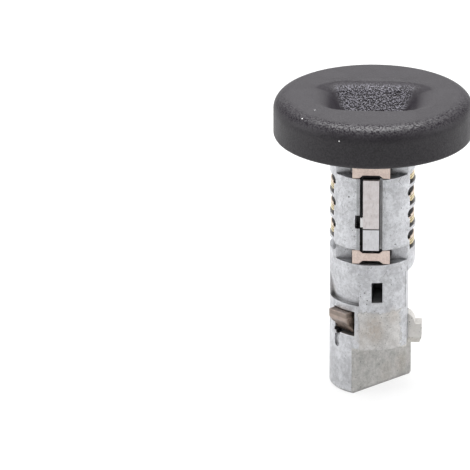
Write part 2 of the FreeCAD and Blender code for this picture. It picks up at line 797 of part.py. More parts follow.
def bar_piece(label, heights, tongue):
    """A length of the bar with its 45 degree ridge, and the thinner tongue behind a retainer."""
    body = new_body(label)
    plan = sketch_on(body, f"{label}_plan", "XY_Plane", heights[0])
    outline(
        plan,
        [
            (-bar_half, -bar_face),
            (bar_half, -bar_face),
            (bar_half, -bar_back),
            (as_size(RIDGE_TIP + RIDGE), -bar_back),
            (as_size(RIDGE_TIP), RIDGE - bar_back),
            (as_size(-RIDGE_TIP), RIDGE - bar_back),
            (as_size(-RIDGE_TIP - RIDGE), -bar_back),
            (-bar_half, -bar_back),
        ],
    )
    pad(body, f"{label}_length", plan, heights[1] - heights[0])
    add_block(body, f"{label}_tongue", (-bar_half, bar_half), (-TONGUE_FACE, -bar_back - 0.2), tongue)
    return body


side_bar = bar_piece("side_bar", (SEAM, BAR[1]), (BAR[1] - 0.5, BAR[1] + tongue_length))
add_block(side_bar, "tab", (-bar_half - 0.6, -bar_half + 0.2), (-bar_face, 1.3 - bar_face), TAB)
bar_piece("side_bar_end", (BAR[0], SEAM - FIT), (BAR[0] - LOWER_TONGUE, BAR[0] + 0.5))

# Springs that push the side bar out, one under each tongue
along_y = FreeCAD.Rotation(FreeCAD.Vector(1, 0, 0), 90)
bar_spring_length = bar_back + 0.2 - ridge_floor - FIT * 2
bar_spring_heights = {
    "upper_bar_spring": BAR[1] + tongue_length - SPRING_INSET,
    "lower_bar_spring": BAR[0] - LOWER_TONGUE + SPRING_INSET,
}
for label, height in bar_spring_heights.items():
    coil(
        label,
        size("bar_spring_diameter"),
        as_size(BAR_WIRE),
        bar_spring_length,
        4,
        (0, -ridge_floor - FIT, height),
        along_y,
    )


# Retainer clips: bow-tie plates whose two legs are pressed into the groove floors
NOTCH_MOUTH = 2.7
NOTCH_BED = 1.9


def retainer(label, heights):
    body = new_body(label)
    face = size("retainer_face")
    half = size("retainer_width") / 2
    bottom = heights[0] + 0.1
    top = heights[1] - 0.1
    notch = size("retainer_notch")
    front = sketch_on(body, f"{label}_front", "XZ_Plane", level=face)
    outline(
        front,
        [
            (-half, bottom),
            (-NOTCH_MOUTH, bottom),
            (-NOTCH_BED, bottom + notch),
            (NOTCH_BED, bottom + notch),
            (NOTCH_MOUTH, bottom),
            (half, bottom),
            (half, top),
            (NOTCH_MOUTH, top),
            (NOTCH_BED, top - notch),
            (-NOTCH_BED, top - notch),
            (-NOTCH_MOUTH, top),
            (-half, top),
        ],
    )
    pad(body, f"{label}_plate", front, size("retainer_thickness"), reverse=True)
    for side, sign in (("left", -1), ("right", 1)):
        add_block(
            body,
            f"{label}_leg_{side}",
            on_side(sign, half - size("retainer_thickness"), half),
            (-face + 0.3, LEG_DEPTH - size("groove_floor")),
            (heights[0] + LEG_INSET, heights[1] - LEG_INSET),
        )
    return body


retainer("upper_bar_retainer", UPPER_GROOVE)
retainer("lower_bar_retainer", LOWER_GROOVE)

# Tumblers and their springs. Each tumbler's exposed end is upset to a thicker head.
thickness = size("tumbler_thickness")
TUMBLER_WIRE = 0.22
SHOULDER = 2.0
NOTCH_FLOOR = 0.45
NOTCH_DEPTH = 1.0
END_CORNER = 1.42
HEAD_START = 7.95
HEAD_CORNER = 0.5
WINDOW_WALL = key_wall + 0.2
spring_middle = (as_size(SPRING_SHELF) + slot_width) / 2
for index, steps in enumerate(TUMBLER_CODE):
    sign = 1 if index % 2 == 0 else -1
    travel = size("tumbler_step") * steps
    base = tumbler_height(index)
    label = f"tumbler_{index + 1}"
    tumbler = new_body(label)
    plan = sketch_on(tumbler, f"{label}_plan", "XY_Plane", base)
    outline(
        plan,
        [
            (-size("tumbler_tail") * sign, -half_width),
            ((travel - NOTCH_FLOOR - NOTCH_DEPTH) * sign, -half_width),
            ((travel - NOTCH_FLOOR) * sign, NOTCH_DEPTH - half_width),
            ((travel + NOTCH_FLOOR) * sign, NOTCH_DEPTH - half_width),
            ((travel + NOTCH_FLOOR + NOTCH_DEPTH) * sign, -half_width),
            ((BARREL - END_CORNER) * sign, -half_width),
            ((BARREL - END_CORNER) * sign, half_width),
            (as_size(SHOULDER * sign), half_width),
            (as_size(SHOULDER * sign), SPRING_SHELF - FIT),
            (-size("tumbler_tail") * sign, SPRING_SHELF - FIT),
        ],
        {5: (BARREL - SLACK) * sign},
    )
    pad(tumbler, f"{label}_plate", plan, thickness)
    window = on_side(sign, -key_half + travel + 0.4, key_half + 0.3)
    cut_block(tumbler, f"{label}_window", window, (-WINDOW_WALL, WINDOW_WALL), (base, base + thickness))
    head_plan = sketch_on(tumbler, f"{label}_head_plan", "XY_Plane", base + HEAD_HEIGHTS[0])
    outline(
        head_plan,
        [
            (as_size(HEAD_START * sign), -HEAD_HALF),
            ((BARREL - END_CORNER + HEAD_CORNER) * sign, -HEAD_HALF),
            ((BARREL - END_CORNER + HEAD_CORNER) * sign, HEAD_HALF),
            (as_size(HEAD_START * sign), HEAD_HALF),
        ],
        {1: (BARREL - SLACK) * sign},
    )
    pad(tumbler, f"{label}_head", head_plan, HEAD_HEIGHTS[1] - HEAD_HEIGHTS[0])
    coil(
        f"tumbler_spring_{index + 1}",
        size("tumbler_spring_diameter"),
        as_size(TUMBLER_WIRE),
        as_size(SHOULDER + SPRING_STOP) - FIT * 2,
        4,
        ((SPRING_STOP - FIT) * (-sign), spring_middle, base + thickness / 2),
        FreeCAD.Rotation(FreeCAD.Vector(0, 1, 0), 90 * sign),
    )

# Latch: a sintered steel block that stands out of its well and is pushed in by the housing
latch = new_body("latch")
LATCH_BACK = 4.2
latch_face = BARREL + size("latch_reach")
latch_side = sketch_on(latch, "latch_side", "XZ_Plane", level=size("latch_width") / 2, turn=azimuth)
outline(
    latch_side,
    [
        (as_size(LATCH_BACK), LATCH[0]),
        (BARREL - 1.45, LATCH[0]),
        (latch_face, LATCH[1] - size("latch_nose")),
        (latch_face, LATCH[1]),
        (as_size(LATCH_BACK), LATCH[1]),
    ],
)
pad(latch, "latch_block", latch_side, size("latch_width"), reverse=True)

# The latch's lower corner is cut back, and the staked lip of the barrel lies over the cut
corner_face = sketch_on(latch, "corner_face", "XZ_Plane", level=OUTSIDE + 1, turn=facing)
rectangle(corner_face, (-size("latch_width") / 2 - 1, STAKE_RIGHT + SLACK), (LATCH[0] - 1, STAKE[1] + SLACK))
pocket(latch, "corner_cut", corner_face, OUTSIDE + 1 - BARREL + STAKE_BACK + FIT)
BORE_DEPTH = 2.4
LATCH_WIRE = 0.3
latch_middle = (LATCH[0] + LATCH[1]) / 2
bore_side = sketch_on(latch, "spring_bore_side", "XZ_Plane", turn=azimuth, rise=latch_middle)
rectangle(
    bore_side,
    (as_size(LATCH_BACK - 1), as_size(LATCH_BACK + BORE_DEPTH)),
    (as_size(0), size("latch_spring_diameter") / 2 + SLACK),
)
turned(latch, "Groove", "spring_bore", bore_side, axis="H_Axis")
latch_turn = FreeCAD.Rotation(FreeCAD.Vector(0, 0, 1), SIZES["latch_azimuth"][0]) * FreeCAD.Rotation(
    FreeCAD.Vector(0, 1, 0), 90
)
latch_spring = coil(
    "latch_spring",
    size("latch_spring_diameter"),
    as_size(LATCH_WIRE),
    LATCH_BACK + BORE_DEPTH - WELL_FLOOR - FIT * 2,
    6,
    (0, 0, latch_middle),
    latch_turn,
)
reach = WELL_FLOOR + FIT + LATCH_WIRE / 2
latch_spring.setExpression("Placement.Base.x", f"{reach.text} * cos({azimuth.text})")
latch_spring.setExpression("Placement.Base.y", f"{reach.text} * sin({azimuth.text})")

# Shutter over the key way: a pressed door on a plain pin, closed by a small wound spring
shutter = new_body("shutter")
door_half = key_half - 0.3
knuckle = pin_radius + 0.3
door_top = PIN_HEIGHT - 0.4
door_bottom = door_top - size("shutter_thickness")
add_block(shutter, "door", (-door_half, door_half), (-key_wall, pin_back), (door_bottom, door_top))
knuckle_end = sketch_on(shutter, "knuckle_end", "YZ_Plane", -door_half)
circle(knuckle_end, (pin_back, PIN_HEIGHT), knuckle)
pad(shutter, "knuckle", knuckle_end, door_half * 2)
bore_end = sketch_on(shutter, "bore_end", "YZ_Plane", door_half)
circle(bore_end, (pin_back, PIN_HEIGHT), pin_radius + FIT)
pocket(shutter, "pin_bore", bore_end, door_half * 2)

shutter_pin = new_body("shutter_pin")
pin_end = sketch_on(shutter_pin, "pin_end", "YZ_Plane", -PIN_HALF)
circle(pin_end, (pin_back, PIN_HEIGHT), pin_radius)
pad(shutter_pin, "pin", pin_end, PIN_HALF * 2)

SHUTTER_WIRE = 0.18
coil(
    "shutter_spring",
    size("shutter_pin_diameter") + 0.5,
    as_size(SHUTTER_WIRE),
    WELL_HALF - door_half - 0.2,
    4,
    (door_half + 0.1, pin_back, PIN_HEIGHT),
    FreeCAD.Rotation(FreeCAD.Vector(0, 1, 0), 90),
)

# Check every object, then write one file for each piece
doc.recompute()
faults = [item.Label for item in doc.Objects if "Invalid" in item.State or "Error" in item.State]
if faults:
    raise RuntimeError(f"not built: {faults}")
pieces = [item for item in doc.Objects if item.TypeId in ("PartDesign::Body", "Part::Sweep")]
for piece in pieces:
    shape = piece.Shape
    if shape.isNull() or not shape.isValid() or len(shape.Solids) != 1:
        raise RuntimeError(f"{piece.Label} is not one sound solid")
os.makedirs("parts", exist_ok=True)
for piece in pieces:
    piece.Shape.exportStep(os.path.join("parts", f"{piece.Label}.step"))
print(len(pieces), "pieces written")
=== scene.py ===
import json
import math

import bmesh
import bpy
import numpy as np
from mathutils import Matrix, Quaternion, Vector

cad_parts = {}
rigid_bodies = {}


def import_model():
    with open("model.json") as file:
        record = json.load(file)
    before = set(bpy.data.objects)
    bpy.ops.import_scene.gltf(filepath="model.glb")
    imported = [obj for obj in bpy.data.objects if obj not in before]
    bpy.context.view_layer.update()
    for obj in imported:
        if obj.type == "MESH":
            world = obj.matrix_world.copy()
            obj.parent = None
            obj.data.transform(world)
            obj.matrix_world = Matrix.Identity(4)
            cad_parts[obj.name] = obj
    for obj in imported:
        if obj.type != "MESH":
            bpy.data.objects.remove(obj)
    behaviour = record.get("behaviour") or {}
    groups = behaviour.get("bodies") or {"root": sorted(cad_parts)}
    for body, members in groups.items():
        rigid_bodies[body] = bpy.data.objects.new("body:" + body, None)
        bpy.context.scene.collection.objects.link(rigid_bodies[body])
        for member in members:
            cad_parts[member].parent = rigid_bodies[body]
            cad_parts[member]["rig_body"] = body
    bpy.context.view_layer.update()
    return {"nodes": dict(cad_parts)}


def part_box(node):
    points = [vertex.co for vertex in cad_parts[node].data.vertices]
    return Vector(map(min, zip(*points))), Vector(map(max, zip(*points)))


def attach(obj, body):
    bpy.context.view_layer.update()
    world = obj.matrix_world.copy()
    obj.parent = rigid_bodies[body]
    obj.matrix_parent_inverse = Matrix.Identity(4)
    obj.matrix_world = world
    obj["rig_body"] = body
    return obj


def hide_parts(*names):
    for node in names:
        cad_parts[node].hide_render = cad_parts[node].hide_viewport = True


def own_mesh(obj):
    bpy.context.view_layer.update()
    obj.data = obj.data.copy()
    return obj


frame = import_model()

# Where the lock is seen from: a long lens a little above it and a touch to its right, aimed
# past its left side, so that the lock stands in the right part of a square picture.
MM = 0.001
LENS_DISTANCE = 1400 * MM
LENS_NEAREST = 50 * MM
LOOK_DOWN = math.radians(21.6)
LOOK_FROM_RIGHT = math.radians(2.2)
FRAME_WIDTH = 106.8 * MM
AIM_LEFT = 31.25 * MM
AIM_HEIGHT = 35.4 * MM
LENS_ROLL = math.radians(-0.25)
SENSOR = 36.0

aim = Vector((
    -AIM_LEFT * math.cos(LOOK_FROM_RIGHT),
    -AIM_LEFT * math.sin(LOOK_FROM_RIGHT),
    AIM_HEIGHT,
))
lens_spot = Vector((0, 0, AIM_HEIGHT)) + LENS_DISTANCE * Vector((
    math.sin(LOOK_FROM_RIGHT) * math.cos(LOOK_DOWN),
    -math.cos(LOOK_FROM_RIGHT) * math.cos(LOOK_DOWN),
    math.sin(LOOK_DOWN),
))
lens = bpy.data.cameras.new("camera")
lens.sensor_width = SENSOR
lens.lens = SENSOR * (aim - lens_spot).length / FRAME_WIDTH
lens.clip_start = LENS_NEAREST
camera = bpy.data.objects.new("camera", lens)
camera.location = lens_spot
level_look = (aim - lens_spot).to_track_quat("-Z", "Y")
camera.rotation_euler = (level_look @ Quaternion((0, 0, 1), LENS_ROLL)).to_euler()
bpy.context.scene.collection.objects.link(camera)
bpy.context.scene.camera = camera
bpy.context.scene.view_settings.view_transform = "Standard"


# The white table and the light round the lock: a plain pale floor, a pale room that is dimmer
# on the lens's side, and soft panels over the lock and at its sides.
class Finish:
    """The shader nodes of one material or of the room, added and joined in plain steps."""

    def __init__(self, owner):
        owner.use_nodes = True
        self.owner = owner
        self.tree = owner.node_tree
        self.tree.nodes.clear()

    def add(self, kind, inputs=None, **settings):
        node = self.tree.nodes.new(kind)
        for name, value in settings.items():
            setattr(node, name, value)
        for socket, value in (inputs or {}).items():
            if isinstance(value, bpy.types.NodeSocket):
                self.tree.links.new(value, node.inputs[socket])
            else:
                node.inputs[socket].default_value = value
        return node

    def figure(self, operation, first, second=0.0, clamp=False):
        """One step of arithmetic on two values."""
        settings = {"operation": operation, "use_clamp": clamp}
        return self.add("ShaderNodeMath", {0: first, 1: second}, **settings).outputs[0]

    def plus(self, first, second):
        return self.figure("ADD", first, second)

    def minus(self, first, second):
        return self.figure("SUBTRACT", first, second)

    def times(self, first, second):
        return self.figure("MULTIPLY", first, second)

    def larger(self, first, second):
        return self.figure("MAXIMUM", first, second)

    def unsigned(self, value):
        return self.figure("ABSOLUTE", value)

    def blended(self, *parts):
        """The sum of some values, each times its share."""
        total = self.times(*parts[0])
        for value, share in parts[1:]:
            total = self.plus(total, self.times(value, share))
        return total

    def vector(self, operation, first, second=(0, 0, 0)):
        """One step of arithmetic on two vectors. A length is a value, the rest are vectors."""
        node = self.add("ShaderNodeVectorMath", {0: first, 1: second}, operation=operation)
        is_value = operation in ("LENGTH", "DISTANCE", "DOT_PRODUCT")
        return node.outputs["Value" if is_value else "Vector"]

    def scaled(self, vector, factor):
        inputs = {0: vector, "Scale": factor}
        return self.add("ShaderNodeVectorMath", inputs, operation="SCALE").outputs[0]

    def stretch(self, at, factors):
        return self.vector("MULTIPLY", at, factors)

    def split(self, vector):
        """The x, y and z of a vector."""
        return tuple(self.add("ShaderNodeSeparateXYZ", {0: vector}).outputs)

    def place(self):
        """The place on the piece in millimetres."""
        return self.scaled(self.add("ShaderNodeTexCoord").outputs["Object"], 1 / MM)

    def spread(self, value, low, high, start=0.0, end=1.0):
        """value carried smoothly from low..high to start..end, and held outside."""
        inputs = {"Value": value, "From Min": low, "From Max": high, "To Min": start, "To Max": end}
        return self.add("ShaderNodeMapRange", inputs, interpolation_type="SMOOTHSTEP").outputs[0]

    def fade(self, value, low, high):
        """One under low, falling smoothly to none over high."""
        return self.spread(value, low, high, 1.0, 0.0)

    def tint(self, share, first, second):
        """The colour first, with as much of the colour second in it as share says."""
        node = self.add("ShaderNodeMix", data_type="RGBA")
        for index, value in ((0, share), (6, first), (7, second)):
            if isinstance(value, bpy.types.NodeSocket):
                self.tree.links.new(value, node.inputs[index])
            else:
                colour = (*value, 1) if isinstance(value, tuple) else value
                node.inputs[index].default_value = colour
        return node.outputs[2]

    def noise(self, at, per_mm, detail=2.0, rough=0.5, warp=0.0):
        """Noise of about per_mm spots to a millimetre."""
        inputs = {"Vector": at, "Scale": per_mm, "Detail": detail, "Roughness": rough}
        return self.add("ShaderNodeTexNoise", {**inputs, "Distortion": warp}).outputs[0]

    def relief(self, height, depth, below=None):
        """Bump whose full height is depth millimetres, laid over another bump."""
        inputs = {"Height": height, "Distance": depth * MM, "Strength": 1.0}
        if below is not None:
            inputs["Normal"] = below
        return self.add("ShaderNodeBump", inputs).outputs[0]

    def surface(self, **inputs):
        """The finished material, from the skin's sockets with their spaces as underscores."""
        named = {name.replace("_", " "): value for name, value in inputs.items()}
        skin = self.add("ShaderNodeBsdfPrincipled", named)
        self.add("ShaderNodeOutputMaterial", {0: skin.outputs[0]})
        return self.owner


FLOOR_REACH = 1.6
FLOOR_GREY = (0.9, 0.9, 0.9, 1)
GLOW_WHITE = (1, 1, 1, 1)
FLOOR_WHITE = 0.8
FLOOR_MIRRORED = 0.8
FLOOR_BEHIND = 1.4
BEHIND_FROM = -0.05
BEHIND_TO = 0.25

# The floor is seen as plain white with the lock's shadow on it. Metal mirrors it a little
# darker under and before the lock than behind it.
floor_paint = Finish(bpy.data.materials.new("pale_floor"))
floor_ray = floor_paint.add("ShaderNodeLightPath").outputs
floor_seen = floor_paint.larger(floor_ray["Is Camera Ray"], floor_ray["Is Transmission Ray"])
floor_y = floor_paint.split(floor_paint.add("ShaderNodeTexCoord").outputs["Object"])[1]
floor_mirrored = floor_paint.spread(
    floor_y, BEHIND_FROM, BEHIND_TO, FLOOR_MIRRORED, FLOOR_BEHIND)
floor_glow = floor_paint.add(
    "ShaderNodeMix", {0: floor_ray["Is Glossy Ray"], 2: 1.0, 3: floor_mirrored}).outputs[0]
floor_share = floor_paint.larger(
    floor_paint.times(floor_seen, FLOOR_WHITE), floor_ray["Is Glossy Ray"])
floor_mix = floor_paint.add("ShaderNodeMixShader", {
    0: floor_share,
    1: floor_paint.add("ShaderNodeBsdfDiffuse", {"Color": FLOOR_GREY}).outputs[0],
    2: floor_paint.add(
        "ShaderNodeEmission", {"Color": GLOW_WHITE, "Strength": floor_glow}).outputs[0],
})
floor_paint.add("ShaderNodeOutputMaterial", {0: floor_mix.outputs[0]})
floor_mesh = bpy.data.meshes.new("floor")
floor_mesh.from_pydata([
    (-FLOOR_REACH, -FLOOR_REACH, 0), (FLOOR_REACH, -FLOOR_REACH, 0),
    (FLOOR_REACH, FLOOR_REACH, 0), (-FLOOR_REACH, FLOOR_REACH, 0),
], [], [(0, 1, 2, 3)])
floor_mesh.materials.append(floor_paint.owner)
floor = bpy.data.objects.new("floor", floor_mesh)
bpy.context.scene.collection.objects.link(floor)

ROOM_FRONT = 0.5
ROOM_BACK = 0.84
ROOM_LOW_FRONT = 0.3

# The room's level by direction: rising from front to back, and low in front near the floor.
room = Finish(bpy.data.worlds.new("pale_room"))
bpy.context.scene.world = room.owner
room_ray = room.add("ShaderNodeLightPath").outputs
room_seen = room.larger(room_ray["Is Camera Ray"], room_ray["Is Transmission Ray"])
_, room_y, room_z = room.split(room.add("ShaderNodeTexCoord").outputs["Generated"])
room_level = room.spread(room_y, -0.7, 0.5, ROOM_FRONT, ROOM_BACK)
low_front = room.times(room.fade(room_y, -0.3, 0.2), room.fade(room_z, 0.25, 0.6))
room_level = room.times(room_level, room.spread(low_front, 0.0, 1.0, 1.0, ROOM_LOW_FRONT))
room_level = room.larger(room_level, room_seen)
room_sky = room.add("ShaderNodeBackground", {"Color": GLOW_WHITE, "Strength": room_level})
room.add("ShaderNodeOutputWorld", {0: room_sky.outputs[0]})

LOCK_MIDDLE = (0, 0, 35 * MM)


def soft_panel(name, spot, width, height, power):
    """A square studio panel at spot, facing the middle of the lock."""
    light = bpy.data.lights.new(name, "AREA")
    light.shape = "RECTANGLE"
    light.size = width
    light.size_y = height
    light.energy = power
    lamp = bpy.data.objects.new(name, light)
    lamp.location = spot
    to_lock = Vector(LOCK_MIDDLE) - Vector(spot)
    lamp.rotation_euler = to_lock.to_track_quat("-Z", "Y").to_euler()
    bpy.context.scene.collection.objects.link(lamp)


soft_panel("left_panel", (-0.60, -0.10, 0.30), 0.3, 0.5, 2.0)
soft_panel("right_panel", (0.60, -0.05, 0.30), 0.3, 0.5, 1.6)
soft_panel("top_panel", (0.0, 0.06, 0.70), 0.50, 0.40, 11.0)

# The barrel is one zinc die casting. Its bearing surfaces are turned and lightly polished; the
# flat of the tang and a patch on the stem stay as they came from the die, duller and browner.
EDGE_BREAK = 0.1
BROKEN_FROM_ANGLE = math.radians(28.0)
FLAT_WITHIN = math.radians(0.6)
TURNED_WITHIN = math.radians(5.0)
TANG_FLAT = 3.2
TANG_STEP = 11.3
TANG_WAY = (math.sqrt(0.5), -math.sqrt(0.5), 0)
BARREL_RADIUS = 9.75
PATCH_DEPTH = 0.22
PATCH_FOOT = 10.0
PATCH_HEAD = 20.6
PATCH_BOX = ((-2.9, -12.0, 10.4), (6.9, -6.2, PATCH_HEAD))
EAR_BOX = ((8.15, -4.0, 9.0), (14.0, 4.5, 21.5))
SCOOP_BOX = ((-9.9, -9.4, 19.0), (-1.6, 0.0, 23.3))
LEFT_LIP_BOX = ((-3.35, -9.6, 35.5), (-2.4, -8.9, 52.6))
RIGHT_LIP_BOX = ((2.4, -9.6, 35.5), (3.3, -8.9, 52.6))
ZINC_LIGHT = (0.80, 0.81, 0.84)
ZINC_DARK = (0.52, 0.525, 0.545)
ZINC_CAST = (0.42, 0.415, 0.395)
ZINC_CAST_LIGHT = (0.64, 0.625, 0.60)
ZINC_PATCH = (0.55, 0.525, 0.49)
ZINC_PATCH_LIGHT = (0.80, 0.775, 0.74)
ZINC_RIM = (0.30, 0.29, 0.275)
ZINC_EAR = (0.80, 0.77, 0.72)
ZINC_STAIN = (0.50, 0.41, 0.33)
ZINC_DARKENED = (0.13, 0.125, 0.12)
ZINC_PIT_AND_EDGE_SHADE = (0.07, 0.07, 0.075)
ZINC_LIP_SHADE = (0.22, 0.23, 0.23)
SLOT_SHADE_BLACK = (0.012, 0.012, 0.013)
# Stains are (centre, full inside, none outside, share).
STAINS = (
    ((0.8, -9.7, 16.2), 0.8, 3.2, 0.45), ((-2.2, -9.5, 15.0), 0.4, 2.6, 0.22),
    ((5.0, -8.4, 19.4), 0.4, 2.2, 0.25), ((6.6, 2.0, 3.4), 0.6, 2.8, 0.25),
    ((3.4, -1.2, 2.0), 0.6, 3.4, 0.16), ((7.6, 3.2, 9.6), 0.6, 3.0, 0.18),
    ((5.6, -8.0, 34.0), 0.4, 1.6, 0.25), ((-9.3, -3.0, 23.5), 0.6, 3.0, 0.2),
)
# Slots with painted shade, black, inside them are (low corner, high corner, share). The latch's
# two are in its own frame, turned with it round the axis.
LATCH_TURN = math.radians(228.0)
LATCH_WAY = (math.cos(LATCH_TURN), math.sin(LATCH_TURN), 0)
SHADED_SLOTS = (
    ((-3.6, -9.0, 35.0), (-1.75, -4.0, 53.5), 0.94), ((-1.9, -8.6, 32.0), (1.9, -3.0, 56.0), 0.94),
    ((-9.0, -5.4, 33.0), (-5.0, 5.4, 53.6), 0.4), ((5.0, -5.4, 33.0), (9.0, 5.4, 53.6), 0.4),
    ((-4.5, -1.5, 21.9), (4.5, 1.5, 62.0), 0.94), ((0.1, -9.2, 22.7), (2.75, -1.2, 27.8), 0.95),
)
SHADED_SLOTS_AT_LATCH = (
    ((0.5, -3.1, 14.2), (8.7, 3.4, 20.3), 0.94), ((7.0, -2.6, 13.4), (9.4, -0.8, 14.6), 0.94),
)
# Pits are (x, y, z, radius) and scratches (start, end, width). The last scratch is a line of
# painted shade along the edge of the flat on the stem's right.
PITS = (
    (-5.05, -8.34, 48.0, 0.22), (6.75, -7.04, 45.0, 0.14), (-1.33, -9.66, 25.2, 0.16),
    (-0.77, -9.72, 23.4, 0.16), (-0.85, -9.72, 22.5, 0.15), (2.07, -9.3, 11.9, 0.2),
    (7.9, -5.7, 17.9, 0.14), (8.6, -1.7, 15.1, 0.14), (5.4, -8.1, 36.6, 0.18),
    (-4.2, -8.8, 40.1, 0.12), (-2.3, -9.5, 24.3, 0.14), (3.9, -8.9, 19.6, 0.12),
    (4.6, -8.6, 26.9, 0.13), (-6.4, -7.3, 41.0, 0.1),
)
SCRATCHES_AND_EDGE_SHADE = (
    ((6.1, -7.6, 51.6), (7.3, -6.45, 53.2), 0.10), ((6.2, -7.5, 51.4), (6.9, -6.85, 50.4), 0.07),
    ((7.3, -6.45, 51.5), (8.0, -5.55, 52.5), 0.06), ((4.2, -8.8, 30.6), (6.6, -7.2, 32.0), 0.07),
    ((-6.7, -7.1, 46.4), (-6.5, -7.3, 43.9), 0.05), ((2.9, -9.3, 29.2), (3.6, -9.06, 30.4), 0.06),
    # A line of painted shade along the edge of the flat on the stem's right.
    ((7.72, -5.96, 29.2), (7.72, -5.96, 20.6), 0.11),
)


def from_axis(paint, at):
    """How far a point stands from the lock's axis."""
    return paint.vector("LENGTH", paint.stretch(at, (1, 1, 0)))


def pit_mask(paint, at, spots):
    """Round marks: one inside each spot's radius, falling to none a little outside."""
    mask = 0.0
    for x, y, z, radius in spots:
        reach = paint.vector("DISTANCE", at, (x, y, z))
        mask = paint.larger(paint.fade(reach, radius * 0.45, radius * 1.15), mask)
    return mask


def scratch_mask(paint, at, lines):
    """Thin marks: the distance to the nearest point of each line, kept under its width."""
    mask = 0.0
    for start, end, width in lines:
        run = Vector(end) - Vector(start)
        from_start = paint.vector("SUBTRACT", at, start)
        along = paint.vector("DOT_PRODUCT", from_start, tuple(run / run.length_squared))
        along = paint.figure("MULTIPLY", along, 1.0, clamp=True)
        nearest = paint.vector("ADD", paint.scaled(tuple(run), along), start)
        reach = paint.vector("DISTANCE", at, nearest)
        mask = paint.larger(paint.fade(reach, width * 0.3, width), mask)
    return mask


def box_mask(paint, at, low, high, soft=0.3):
    """One inside a box, falling to none over the last soft millimetres before its faces: the
    greatest of the three distances past the half sizes, turned round."""
    middle = tuple((a + b) / 2 for a, b in zip(low, high))
    half = tuple((b - a) / 2 for a, b in zip(low, high))
    from_middle = paint.vector("ABSOLUTE", paint.vector("SUBTRACT", at, middle))
    past_x, past_y, past_z = paint.split(paint.vector("SUBTRACT", from_middle, half))
    return paint.fade(paint.larger(paint.larger(past_x, past_y), past_z), -soft, 0.0)


